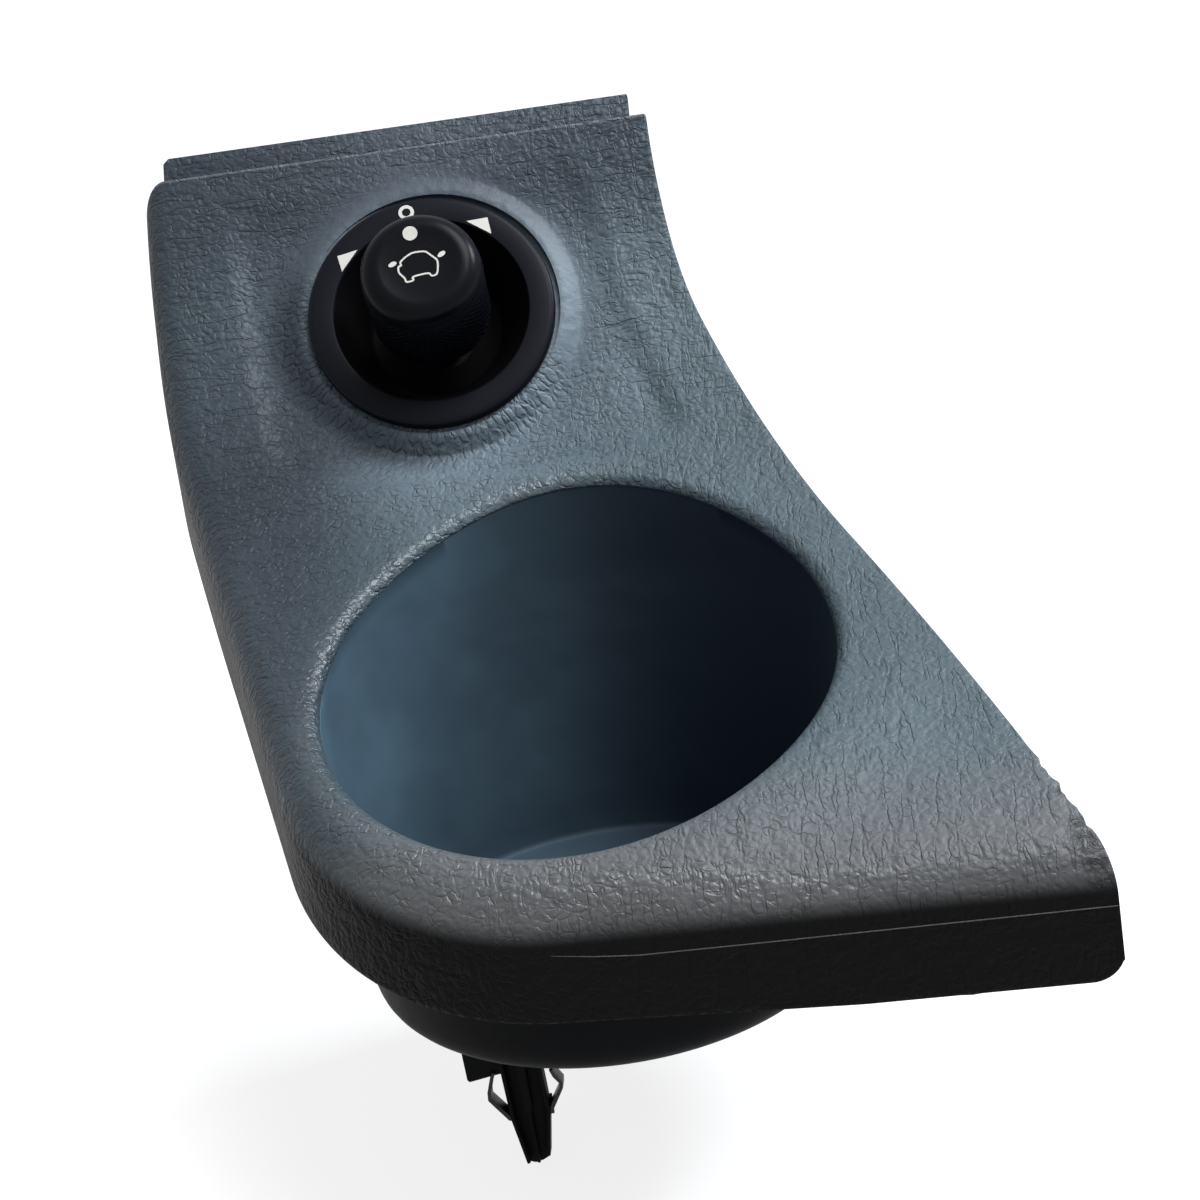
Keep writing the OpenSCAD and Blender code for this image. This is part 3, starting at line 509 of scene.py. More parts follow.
def grained_plastic():
    """Polypropylene moulded in a tool with leather grain: matt slate with broken creases over a fine
    pebble, satin where hands have polished the cup's lip and the crest above the skirt."""
    m, add, mm = new_material("panel_leather_grain")
    wander = add("TexNoise", {"Vector": mm, "Scale": 1 / GRAIN["wander"]}, "Color")
    shift = add("VectorMath MULTIPLY", (wander, (1.25, 1.25, 1.25)))
    bent = add("VectorMath ADD", (mm, shift))
    zone = panel_zones(add, mm)
    # above the ring the grain stops short of it, and below it wrinkles towards it
    band = add(TIMES, (zone["above_ring"], zone["by_ring_above"]))
    below = add(MINUS, (1.0, zone["above_ring"]))
    close = add(TIMES, (below, zone["by_ring_below"]))
    near = add(HIGHER, (band, close))
    calm = add(MINUS, (1.0, near))
    arc = add(TIMES, (zone["turn"], 26.0))
    out = add(TIMES, (zone["from_switch_axis"], 0.55))
    round_it = add("CombineXYZ", {"X": arc, "Y": out})
    round_it = add("VectorMath ADD", (round_it, shift))
    gathers = add("TexVoronoi DISTANCE_TO_EDGE", {"Vector": round_it, "Scale": 1 / GRAIN["gather"]})
    gathers = add(RAMP, {0: gathers, 2: 0.25})
    gathers = add(TIMES, (gathers, close))
    # grain over the whole panel
    torn = torn_spots(add, bent)
    folds = add(TIMES, (leather_folds(add, mm, bent, zone), calm))
    folds = add(HIGHER, (folds, torn))
    raised = add(MINUS, (1.0, folds))
    pebble = add("TexVoronoi SMOOTH_F1", {"Vector": bent, "Scale": 1 / GRAIN["pebble"]})
    pebble = add(RAMP, (pebble, 0.15, 0.75))
    pebble = add(TIMES, (pebble, calm))
    pores = add("TexNoise", {"Vector": mm, "Scale": 1 / GRAIN["pore"], "Roughness": 0.6})
    swell = add("TexNoise", {"Vector": mm, "Scale": 1 / GRAIN["swell"]})
    # painted light: the upward faces, the boss and the cup's mouth keep the light slate colour, and the rest
    # is painted dark as shade
    painted_lit_tops = add(HIGHER, (zone["facing_up"], zone["boss"]))
    painted_lit_tops = add(HIGHER, (painted_lit_tops, zone["cup_mouth"]))
    mottle = add("TexNoise", {"Vector": mm, "Scale": 1 / GRAIN["mottle"], "Detail": 3.0})
    mottle = add(RAMP, (mottle, 0.35, 0.65))
    # polish by hands
    lip = add(TIMES, (zone["cup_lip"], zone["lit_lip"]))
    crest = zone["front_crest"]
    for part in ("crest_high", "crest_low", "short_of_corner"):
        crest = add(TIMES, (crest, zone[part]))
    polished = add(HIGHER, (lip, crest))
    polished = add(TIMES, (polished, painted_lit_tops))
    rough = add(TIMES_PLUS, (pores, 0.1, 0.38))
    rough = add(TIMES_PLUS, (mottle, 0.04, rough))
    rough = add(TIMES_PLUS, (polished, -0.12, rough))
    sheen = add("Math ADD", (painted_lit_tops, polished))
    sheen = add(TIMES_PLUS, (sheen, 0.19, 0.05))
    colour = panel_colour(add, zone, painted_lit_tops, mottle, folds, torn, close)
    surface = {"Base Color": colour, "Roughness": rough, "Specular IOR Level": sheen}
    relief = [(swell, 0.3), (raised, 0.17), (pebble, -0.1), (gathers, 0.21), (pores, 0.03)]
    close_material(add, surface, relief)
    return m


def smooth_plastic():
    """The same polypropylene from a polished part of the tool: slate inside the cup, painted darker towards
    its right as shade, and satin on its outside and on the underside, painted near-black as shade."""
    m, add, mm = new_material("panel_smooth_moulding")
    own = add("TexCoord", give="Object")
    pulled = add("Mapping", {"Vector": own, "Scale": (600, 600, 20)})
    drawn = add("TexNoise", {"Vector": pulled, "Scale": 1.0})
    haze = add("TexNoise", {"Vector": mm, "Scale": 1 / 20.0})
    haze = add(RAMP, (haze, 0.35, 0.65))
    x = add("SeparateXYZ", (mm,), "X")
    z = add("SeparateXYZ", (mm,), "Z")
    # the bore leans back and flares, so its radius is taken off before inside and outside are told apart
    rise = add("MapRange", (z, 0.0, CUP_DEPTH))
    lean = add(TIMES, (rise, -BORE_LEAN * CUP_DEPTH))
    lean = add("CombineXYZ", {"Y": lean})
    level = add("VectorMath MULTIPLY_ADD", (mm, (1, 1, 0), lean))
    past = add("VectorMath LENGTH", (level,), "Value")
    flare = add(TIMES, (rise, rise))
    past = add(TIMES_PLUS, (z, -tan(CUP_DRAFT), past))
    past = add(TIMES_PLUS, (flare, -BORE_FLARE, past))
    within = add(RAMP, (past, CUP_FLOOR_R + 0.7, CUP_FLOOR_R + 0.35))
    above = add(RAMP, (z, -1.6, -0.6))
    inside = add(TIMES, (within, above))
    # painted shade: the inside of the cup is painted darker towards its right
    painted_shade_to_right = add(RAMP, (x, -24.0, 14.0))
    # painted shade: the cup's outside and the underside, the same plastic as the inside, are painted
    # near-black
    outside = add(MINUS, (1.0, inside))
    colour = linear("#3f515e")
    for share, layer in ((haze, "#475c69"), (painted_shade_to_right, "#27313c"), (outside, "#101113")):
        colour = {SHARE: share, FIRST: colour, SECOND: linear(layer)}
        colour = add("Mix RGBA", colour, MIXED)
    rough = add(TIMES_PLUS, (drawn, 0.1, 0.46))
    sheen = add(TIMES_PLUS, (inside, 0.05, 0.05))
    wavy = add("TexNoise", {"Vector": mm, "Scale": 1 / 12.5})
    surface = {"Base Color": colour, "Roughness": rough, "Specular IOR Level": sheen}
    close_material(add, surface, [(drawn, 0.01), (wavy, 0.4)])
    return m


def even_finish(name, colour, other, rough, metal=0.0, specular=0.5, grit=1 / 3, depth=0.004):
    """An even surface whose colour, roughness and relief vary a little. grit is in mm: most of these
    textures are finer on the real pieces and are drawn as coarse as they need to show."""
    m, add, mm = new_material(name)
    speck = add("TexNoise", {"Vector": mm, "Scale": 1 / grit, "Detail": 3.0, "Roughness": 0.6})
    share = add(RAMP, (speck, 0.3, 0.7))
    shades = {SHARE: share, FIRST: linear(colour), SECOND: linear(other)}
    shade = add("Mix RGBA", shades, MIXED)
    uneven = add(TIMES_PLUS, (speck, 0.06, rough - 0.03))
    surface = {"Base Color": shade, "Roughness": uneven, "Metallic": metal, "Specular IOR Level": specular}
    close_material(add, surface, [(speck, depth)])
    return m


GRAINED = grained_plastic()
SMOOTH = smooth_plastic()
# ABS from a finely eroded tool: black satin that shows a soft light on its edges
BEZEL_FINISH = even_finish("switch_satin_abs", "#0f1117", "#12141b", 0.36, specular=0.07, grit=1 / 6)
# the same ABS left matt in the bowl, its colour painted darker than the ring's: painted shade round the knob
BOWL_FINISH = even_finish("bowl_matt_painted_shade_abs", "#040405", "#060607", 0.6, specular=0.04, grit=1 / 6)
# ABS rubbed by fingers: the knob's shoulder is a little glossier than the ring
KNOB_FINISH = even_finish(
    "knob_rubbed_abs", "#08090d", "#0e0f15", 0.29, specular=0.07, grit=0.25, depth=0.003
)
# pad-printed ink: flat, slightly yellowed white
INK = even_finish("printed_white_ink", "#dedcd4", "#c9c8c2", 0.6, specular=0.3, grit=0.125, depth=0.002)
# glass-filled nylon as moulded: dry charcoal
CASE_NYLON = even_finish("housing_matt_moulding", "#1b1c20", "#202126", 0.6, specular=0.35, depth=0.01)
# phosphated spring steel: dull black-brown with a weak shine
CLIP_FINISH = even_finish("phosphated_spring_steel", "#1d1c1e", "#2a2124", 0.45, metal=0.5, depth=0.003)
# stretched polypropylene of the mould's flash: paler than the panel
FLASH_FINISH = even_finish("stressed_flash_plastic", "#6b6d70", "#56585a", 0.55, specular=0.2)
# drawn spring wire and strip: bright, smooth
SPRING_STEEL = even_finish("bright_spring_steel", "#9c9fa4", "#8b8e93", 0.3, metal=1.0, depth=0.002)
# ground steel of shaft, pins and ball: brighter and sharper than the springs
SHAFT_STEEL = even_finish("ground_shaft_steel", "#a9acb1", "#9da0a5", 0.25, metal=1.0, depth=0.002)
# black acetal of the two pieces that can be seen below the knob: dull and dark
BLACK_ACETAL = even_finish("dark_stem_acetal", "#0a0b0d", "#0d0e10", 0.5, specular=0.1, grit=1.0)
# natural acetal: milky white, waxy
WHITE_ACETAL = even_finish("natural_acetal", "#d9d7cd", "#d2d0c6", 0.45, grit=1.0)
# zinc as cast: pale grey with a soft grain
CAST_ZINC = even_finish("die_cast_zinc", "#b4b7bb", "#a6a9ad", 0.45, metal=1.0, grit=0.5, depth=0.01)
# plated contact brass: warm and bright
CONTACT_BRASS = even_finish("plated_contact_brass", "#c2a45c", "#b59850", 0.3, metal=1.0, depth=0.002)
# silicone rubber: grey, without any gloss
MAT_SILICONE = even_finish("grey_silicone_mat", "#84868a", "#7c7e82", 0.7, grit=2 / 3, depth=0.01)
# lacquered board: green, glossy
BOARD_LACQUER = even_finish("green_lacquered_board", "#1f6b3c", "#1a6036", 0.3, grit=1 / 1.2)

for finish, names in (
    (CASE_NYLON, "switch_housing rear_cover"),
    (SPRING_STEEL, "retaining_spring_left retaining_spring_right return_spring detent_spring"),
    (SHAFT_STEEL, "drive_shaft gimbal_pins_inner gimbal_pins_outer detent_ball"),
    (BLACK_ACETAL, "stick_stem rocker_cross"),
    (CAST_ZINC, "gimbal_ring"),
    (WHITE_ACETAL, "contact_rotor"),
    (CONTACT_BRASS, "wiper_contact terminal_pins"),
    (MAT_SILICONE, "dome_mat"),
    (BOARD_LACQUER, "contact_board"),
    (CLIP_FINISH, "panel_clip"),
):
    for node_name in names.split():
        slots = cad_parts[node_name].data.materials
        for i in range(len(slots)):
            slots[i] = finish


# Trim panel
def edge_columns():
    """Columns of the rounded edge from the right front end, round the corner and up the left to the back.
    Each is (x, y, angle of the outward normal, share of the front run, or nothing)."""
    cols = []
    run = RIGHT_X0 - CORNER_X
    shares = [1 - SKIRT_CORNER_R * (1 - sin(radians(a))) / run for a in range(90, -1, -9)]
    shares += list(np.linspace(shares[-1], 0, 46)[1:])
    for s in shares:
        cols.append((CORNER_X, FRONT_Y, radians(270), s))
    for a in np.linspace(270, 180 + degrees(LEFT_LEAN), 56)[1:]:
        a = radians(a)
        cols.append((CORNER_X + CORNER_R * cos(a), CORNER_Y + CORNER_R * sin(a), a, None))
    join = JOIN_Y - EDGE_R * sin(float(left_lean_at(JOIN_Y)))
    ys = list(np.linspace(LEFT_FOOT[1], join, 44)[1:])
    split = len(cols) + len(ys) - 1
    ys += list(np.linspace(join, BACK_Y, 34)[1:])
    for y in ys:
        cols.append((float(left_x(y)), float(y), pi + float(left_lean_at(y)), None))
    return cols, split


EDGE, EDGE_JOIN = edge_columns()


def edge_plan(g, trim=0.0):
    """Plan points of the edge columns, moved inwards by g. The front run ends trim short of the right
    edge."""
    pts = []
    for x, y, a, share in EDGE:
        if share is not None:
            py = FRONT_Y + g
            end = float(right_x(py)) - trim
            pts.append((CORNER_X + share * (end - CORNER_X), py))
        else:
            pts.append((x - g * cos(a), y - g * sin(a)))
    pts = np.array(pts)
    pts[-1, 1] = BACK_Y - trim
    return pts


def skirt_depth(g):
    """Depth of the skirt's lower edge at each column: its free end has a rounded corner."""
    x = edge_plan(g, TRIM)[:, 0]
    t = np.clip(x - (RIGHT_X0 - SKIRT_CORNER_R), 0, SKIRT_CORNER_R)
    front = np.array([c[3] is not None for c in EDGE])
    rise = SKIRT_CORNER_R - np.sqrt(SKIRT_CORNER_R**2 - t * t)
    more = SKIRT_MORE * np.clip((x + 2) / 40, 0, 1)
    return SKIRT_H + np.where(front, more - rise * cos(FRONT_SLOPE), 0)


def at_depth(plan, down):
    """Points of the surface down below the panel's, over the given plan."""
    return np.column_stack([plan, under_z(plan[:, 1], down)])


def edge_rows():
    """Paired rows, outer and inner, from the panel's surface over the rounded edge down to the skirt's
    lower edge, and the rows of that edge."""
    outer, inner = [], []
    steps = 12
    r_in = EDGE_R - WALL
    for j in range(steps + 1):
        b = radians(90 - 90 * j / steps)
        down = EDGE_R * (1 - sin(b))
        row = at_depth(edge_plan(EDGE_R * (1 - cos(b)), TRIM), down)
        row[:, 2] += lip_raise(row[:, 0], row[:, 1]) * (1 - down / EDGE_R)
        outer.append(row)
        plan = edge_plan(WALL + r_in * (1 - cos(b)), TRIM)
        inner.append(at_depth(plan, WALL + r_in * (1 - sin(b))))
    depth = skirt_depth(0)
    soft = 0.45
    levels = 16
    for j in range(1, levels + 1):
        t = j / levels
        d = EDGE_R + t * (depth - soft - EDGE_R)
        outer.append(at_depth(edge_plan(-SKIRT_LEAN * t, TRIM), d))
        inner.append(at_depth(edge_plan(WALL, TRIM), d))
    bottom = []
    lean = -SKIRT_LEAN
    for g, up in ((lean + 0.12, 0.13), (lean + soft, 0.0), (WALL - soft, 0.0), (WALL - 0.12, 0.13)):
        bottom.append(at_depth(edge_plan(g, TRIM), depth - up))
    return outer, bottom, inner


def chew(y):
    """Scuffed, slightly uneven places on the open right edge near the front, as the photograph shows."""
    y = np.asarray(y, float)
    window = smoothstep((y + 43) / 2) * smoothstep((-24 - y) / 6)
    rough = ripple(y, (5.3, 0.2, 0.4), (2.3, 0.14, 1.9), (1.1, 0.08, 0.3))
    return window * (rough + 0.1)


def open_plan(count, y_from, y_to):
    """Plan points along the open right edge."""
    y = np.linspace(y_from, y_to, count)
    return np.column_stack([right_x(y) - TRIM - chew(y), y])


panel = Shell()
outer_rows, bottom_rows, inner_rows = edge_rows()
top_edge = outer_rows[0]
panel.grid(outer_rows, 0)
panel.grid([outer_rows[-1], *bottom_rows, inner_rows[-1]], [0, 0, 1, 1, 1])
panel.grid(inner_rows[::-1], 1)

# open right edge, then open back edge, as plan targets
right_front = open_plan(110, FRONT_Y + EDGE_R, JOIN_Y)
right_front[0, 0] = top_edge[0, 0]
right_back = open_plan(30, JOIN_Y, BACK_Y - TRIM)
back_x = np.linspace(right_back[-1, 0], top_edge[-1, 0], 70)
back_line = np.column_stack([back_x, np.full(70, BACK_Y - TRIM)])
left_join = top_edge[EDGE_JOIN, :2]
join_line = np.linspace(right_front[-1], left_join, 90)


def top_points(plan):
    """Points of the panel's surface over the given plan."""
    x, y = plan[:, 0], plan[:, 1]
    return np.column_stack([x, y, top_z(y)])


# cup patch: plan loop seen from above, against the clock
cup_loop = np.vstack([right_front[:-1], join_line[:-1], top_edge[EDGE_JOIN:0:-1, :2]])
angle = np.arctan2(cup_loop[:, 1], cup_loop[:, 0])
ray = np.column_stack([np.cos(angle), np.sin(angle)])


def bore_lean(z):
    """The mouth of the cup lies a little behind the middle of its floor."""
    return BORE_LEAN * np.clip(z, 0, CUP_DEPTH)


def cup_ring(rho, z):
    """A row round the cup, rho from its axis at height z."""
    return np.column_stack([rho * ray[:, 0], rho * ray[:, 1] + bore_lean(z), np.broadcast_to(z, len(ray))])


def cup_r(z):
    """Radius of the tapered cup at height z."""
    return CUP_FLOOR_R + z * tan(CUP_DRAFT)


def bore_r(z):
    """The bore opens a little more towards its mouth than the outside does."""
    return cup_r(z) + BORE_FLARE * np.clip(z / CUP_DEPTH, 0, 1) ** 2


# where the rounded lip starts on the bore
MOUTH_SHIFT = bore_lean(CUP_DEPTH)
rho0 = np.full(len(ray), CUP_MOUTH_R)
for _ in range(4):
    rho0 = bore_r(top_z(rho0 * ray[:, 1] + MOUTH_SHIFT)) - LIP_PROUD
rise = np.tan(slope_at(rho0 * ray[:, 1])) * ray[:, 1]
lip_centre = top_z(rho0 * ray[:, 1] + MOUTH_SHIFT) + rise * LIP_R - LIP_R * np.sqrt(1 + rise**2)
lip_end = np.arctan(rise)
lip_centre = lip_centre + lip_raise(rho0 * ray[:, 0], rho0 * ray[:, 1])

cup_rows = []
for rho in (0.001, 6, 14, 22, 29, 33.5):
    cup_rows.append(cup_ring(rho, 0.0))
for b in np.linspace(0, 90, 5):
    b = radians(b)
    r = CUP_FLOOR_T / 2
    rho = bore_r(r) - r + r * sin(b)
    cup_rows.append(cup_ring(rho, r * (1 - cos(b))))
wall_top = lip_centre - 0.25
for t in np.linspace(0, 1, 22)[1:]:
    z = CUP_FLOOR_T / 2 + t * (wall_top - CUP_FLOOR_T / 2)
    cup_rows.append(cup_ring(bore_r(z), z))
cup_rows.append(cup_ring(rho0 + 0.03, lip_centre - 0.16))
wall_count = len(cup_rows)
cup_rows.append(cup_ring(rho0, lip_centre))
for t in np.linspace(0, 1, 10)[1:]:
    b = pi + t * (pi / 2 + lip_end - pi)
    cup_rows.append(cup_ring(rho0 + LIP_R + LIP_R * np.cos(b), lip_centre + LIP_R * np.sin(b)))
lip_out = cup_rows[-1][:, :2]
for t in np.linspace(0, 1, 16)[1:]:
    plan = lip_out + t * (cup_loop - lip_out)
    row = top_points(plan)
    row[:, 2] += lip_raise(plan[:, 0], plan[:, 1])
    cup_rows.append(row)
panel.grid(cup_rows, [1 if j < wall_count - 1 else 0 for j in range(len(cup_rows) - 1)], closed=True)

# underside of the cup patch, down the cup's outside to its foot
low_r = cup_r(0) + CUP_WALL - CUP_EDGE_R
rho_u = np.full(len(ray), 41.0)
for _ in range(5):
    rho_u = cup_r(under_z(rho_u * ray[:, 1] + MOUTH_SHIFT, WALL)) + CUP_WALL
foot_rows = []
for t in np.linspace(0, 1, 12):
    plan = cup_loop + t * (rho_u[:, None] * ray + [0, MOUTH_SHIFT] - cup_loop)
    foot_rows.append(at_depth(plan, WALL))
top_u = foot_rows[-1][:, 2]
for t in np.linspace(0, 1, 16)[1:]:
    z = top_u + t * (CUP_EDGE_R - CUP_FLOOR_T - top_u)
    foot_rows.append(cup_ring(cup_r(z) + CUP_WALL - 0.02 * t, z))
for b in np.linspace(90, 0, 9)[1:]:
    b = radians(b)
    rho = low_r + CUP_EDGE_R * sin(b)
    foot_rows.append(cup_ring(rho, -CUP_FLOOR_T + CUP_EDGE_R * (1 - cos(b))))
for rho in (20, 0.001):
    foot_rows.append(cup_ring(rho, -CUP_FLOOR_T))
panel.grid(foot_rows, 1, closed=True)

# patch round the switch: collar, seat, boss and shallow pocket
switch_loop = np.vstack([join_line[::-1][:-1], right_back[:-1], back_line[:-1], top_edge[:EDGE_JOIN:-1, :2]])
ta, tb, _ = to_switch(top_points(switch_loop))
phi = np.arctan2(tb, ta)
ca, cb = np.cos(phi), np.sin(phi)
switch_rows, switch_slots = [], []
for h in (-COLLAR_H, -5.0, -BEZEL_T - 0.15):
    switch_rows.append(from_switch(BORE_R * ca, BORE_R * cb, h))
    switch_slots.append(1)
for r, h in ((BORE_R + 0.15, -BEZEL_T), (BEZEL_R + 0.4, -BEZEL_T), (SEAT_R, -BEZEL_T)):
    switch_rows.append(from_switch(r * ca, r * cb, h))
    switch_slots.append(0)
sa, sb = SEAT_R * ca, SEAT_R * cb
for t in np.linspace(0, 1, 56)[1:]:
    t = t**1.35
    a, b = sa + t * (ta - sa), sb + t * (tb - sb)
    base = height_over_switch(a, b, 0.0, True)
    dipped = -blend_up(-base, -valley(a, b), 3.0)
    fade = 1 - smoothstep((t - 0.8) / 0.2)
    soft = 2.6 + 2.6 * smoothstep((0.55 * a + b + 9) / 12)
    h = blend_up(boss_height(np.hypot(a, b)), base + fade * (dipped - base), soft) if t < 1 else base
    switch_rows.append(from_switch(a, b, h))
    switch_slots.append(0)
switch_rows[-1] = top_points(switch_loop)
panel.grid(switch_rows, switch_slots[1:], closed=True)

# its underside, down to the collar's foot
ua, ub, _ = to_switch(at_depth(switch_loop, WALL))
collar_r = BORE_R + COLLAR_WALL
uphi = np.arctan2(ub, ua)
ga, gb = collar_r * np.cos(uphi), collar_r * np.sin(uphi)
back_rows = []
for t in np.linspace(0, 1, 16):
    a, b = ua + t * (ga - ua), ub + t * (gb - ub)
    under = height_over_switch(a, b, WALL, False)
    dip = -blend_up(-under, -(valley(a, b) - 1.8), 2.0)
    fade = 1 - smoothstep((np.hypot(a, b) - 42) / 12)
    back_rows.append(from_switch(a, b, under + fade * (dip - under)))
back_rows[0] = at_depth(switch_loop, WALL)
for r, h in ((collar_r, -COLLAR_H + 0.3), (collar_r - 0.3, -COLLAR_H)):
    back_rows.append(from_switch(r * np.cos(uphi), r * np.sin(uphi), h))
panel.grid(back_rows, 1, closed=True)
panel.grid([back_rows[-1], switch_rows[0]], 1, closed=True)

# rounded trim of every open edge: skirt end, right, back, skirt end
open_side = np.vstack([right_front, right_back[1:]])
pairs_top = [row[0] for row in outer_rows[::-1]] + list(top_points(open_side)[1:])
pairs_low = [row[0] for row in inner_rows[::-1]] + list(at_depth(open_side, WALL)[1:])
outs = [(1, 0)] * (len(outer_rows) + len(open_side) - 2) + [(1, 1)]
pairs_top += list(top_points(back_line)[1:]) + [row[-1] for row in outer_rows[1:]]
pairs_low += list(at_depth(back_line, WALL)[1:]) + [row[-1] for row in inner_rows[1:]]
outs += [(0, 1)] * (len(pairs_top) - len(outs))
pairs_top, pairs_low = np.array(pairs_top), np.array(pairs_low)
out3 = np.column_stack([np.array(outs, float), np.zeros(len(outs))]) * TRIM
trim_rows = [
    pairs_top,
    pairs_top + 0.04 * (pairs_low - pairs_top) + 0.7 * out3,
    pairs_top + 0.15 * (pairs_low - pairs_top) + out3,
    pairs_low + 0.15 * (pairs_top - pairs_low) + out3,
    pairs_low,
]
trim_ids = panel.grid(trim_rows, [0, 0, 1, 1])
for k, col in ((0, 0), (-1, -1)):
    ends = [ids[k] for ids in trim_ids]
    low = panel.add([row[col] for row in bottom_rows])
    panel.face([*ends, *low[::-1]], 1)

# tongue at the back
tongue_x0 = float(left_x(BACK_Y)) + 3
tongue_w = float(right_x(BACK_Y)) - 3 - tongue_x0
tongue_at = np.array([tongue_x0, BACK_Y, float(top_z(BACK_Y))])
tongue_u = np.array([1.0, 0, 0])
tongue_v = np.array([0, cos(BACK_SLOPE), sin(BACK_SLOPE)])
tongue_n = np.array([0, -sin(BACK_SLOPE), cos(BACK_SLOPE)])


def in_tongue(p):
    """Points of the tongue's own plane, in the part's frame."""
    return tongue_at + p[:, :1] * tongue_u + p[:, 1:2] * tongue_v + p[:, 2:3] * tongue_n


tongue_outline = [(1.6, -3), (tongue_w, -3), (tongue_w, 4), (2.6, 4), (1.6, 3)]
add_prism(panel, tongue_outline, in_tongue, -2.3, -0.7, 0.3, 0)

# clip tower under the cup
TOWER_X, TOWER_Y = -15.0, -20.0
tower_top = -CUP_FLOOR_T + 0.6


def facing_front(p):
    """Points of an outline that is seen from the front, in the part's frame."""
    return np.column_stack([TOWER_X + p[:, 0], TOWER_Y + p[:, 2], p[:, 1]])


front_plate = [
    (-3.3, tower_top), (-3.1, -10.3), (-2.8, -18.7), (-1.9, -24.9), (-1.5, -26.9), (-0.4, -27.3),
    (0.9, -26.9), (1.9, -26.3), (2.2, -25.6), (3.4, -17.7), (3.25, -11.3), (3.1, tower_top),
]
left_flange = [
    (-3.3, tower_top), (-3.1, -10.3), (-2.8, -18.7), (-1.55, -26.7),
    (-1.0, -26.5), (-2.2, -18.6), (-2.5, -10.3), (-2.7, tower_top),
]
right_flange = [
    (2.5, tower_top), (2.65, -11.3), (2.8, -17.6), (1.7, -25.5),
    (2.2, -25.6), (3.4, -17.7), (3.25, -11.3), (3.1, tower_top),
]
middle_rib_high = [
    (-0.65, tower_top), (-0.35, -17.0), (-0.2, -17.2), (0.6, -17.2), (0.75, -17.0), (0.85, tower_top),
]
middle_rib_low = [(-0.2, -16.5), (0.0, -26.6), (0.2, -26.8), (0.5, -26.7), (0.45, -16.5)]
back_rib = [(-0.9, tower_top), (-0.7, -26.4), (0.7, -26.4), (0.9, tower_top)]
gusset = [
    (-8.75, tower_top), (-8.56, -11.4), (-8.3, -11.8), (-8.0, -11.8),
    (-4.8, -11.14), (-2.9, -10.8), (-2.9, tower_top),
]
for outline, near, far in (
    (front_plate, -0.5, 0.5),
    (left_flange, -1.7, 0.6),
    (right_flange, -1.7, 0.6),
    (middle_rib_high, -1.9, 0.1),
    (middle_rib_low, -1.5, 0.1),
    (back_rib, 0.3, 2.6),
    (gusset, -0.8, 0.8),
):
    add_prism(panel, outline, facing_front, near, far, 0.14, 1)

# pale sliver of flash hanging from the skirt's lower edge
sliver_z = float(under_z(FRONT_Y, SKIRT_H + SKIRT_MORE))
sliver = [(51.0, 0.5), (50.6, -0.22), (52.4, -0.34), (55.0, -0.08), (57.6, 0.0), (58.0, 0.5)]
sliver_shell = Shell()


def below_skirt(p):
    """Points of an outline that hangs from the skirt's front, in the part's frame."""
    return np.column_stack([p[:, 0], FRONT_Y + p[:, 2], sliver_z + p[:, 1]])


add_prism(sliver_shell, sliver, below_skirt, 0.0, 0.25, 0.0, 0)
sliver_piece = sliver_shell.build("skirt_flash_sliver", [FLASH_FINISH])
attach(sliver_piece, "panel")

trim_piece = panel.build("trim_panel_moulding", [GRAINED, SMOOTH])
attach(trim_piece, "panel")
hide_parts("trim_panel")

# thin flash line left by the mould's parting, along the front of the skirt
FLASH_W, FLASH_PROUD = 0.18, 0.07
# edge columns from the skirt's rounded end to where the line has faded out
FLASH_RUN = range(1, 61)
flash = Shell()
rows = []
flash_x = edge_plan(0, TRIM)[:, 0]
flash_down = np.interp(flash_x, [-9.0, -3.6, 3.0, 9.0, 25.0, 73.0], [5.1, 5.45, 6.15, 6.55, 6.5, 6.2])
fades = smoothstep((flash_x + 8) / 14)
for proud, up in (
    (-0.2, FLASH_W / 2),
    (FLASH_PROUD, FLASH_W / 4),
    (FLASH_PROUD, -FLASH_W / 4),
    (-0.2, -FLASH_W / 2),
):
    down = flash_down - up
    lean = SKIRT_LEAN * (down - EDGE_R) / (SKIRT_H - EDGE_R)
    proud = np.where(proud > 0, proud * fades - 0.03 * (1 - fades), proud)
    rows.append(np.array([at_depth(edge_plan(-lean[i] - proud[i], TRIM), down[i])[i] for i in FLASH_RUN]))
rows.append(rows[0])
flash_ids = flash.grid(rows, 0)
for k in (0, -1):
    flash.face([ids[k] for ids in flash_ids[:-1]], 0)
flash_piece = flash.build("skirt_parting_flash", [FLASH_FINISH])
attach(flash_piece, "panel")


# Clip on the tower
clip = Shell()
leg_left = [
    (-2.75, -19.0), (-2.85, -18.2), (-5.25, -14.9), (-5.2, -13.9), (-4.45, -11.4), (-4.0, -10.4),
    (-4.5, -10.3), (-4.95, -11.2), (-5.75, -13.7), (-5.85, -15.1), (-3.2, -18.9),
]
leg_right = [
    (3.3, -18.6), (3.3, -17.3), (5.35, -13.8), (5.4, -13.1), (4.6, -11.9), (4.2, -10.7),
    (4.75, -10.7), (5.2, -11.7), (6.0, -13.0), (5.9, -14.0), (3.75, -17.9),
]
for outline in (leg_left, leg_right):
    add_prism(clip, outline, facing_front, -1.3, 1.0, 0.08, 0)
back_plate = [(-3.3, -19.8), (3.5, -19.8), (3.6, -16.4), (-3.4, -16.4)]
add_prism(clip, back_plate, facing_front, 1.0, 1.5, 0.08, 0)
clip_piece = clip.build("tower_spring_clip", [CLIP_FINISH])
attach(clip_piece, "panel")
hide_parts("panel_clip")


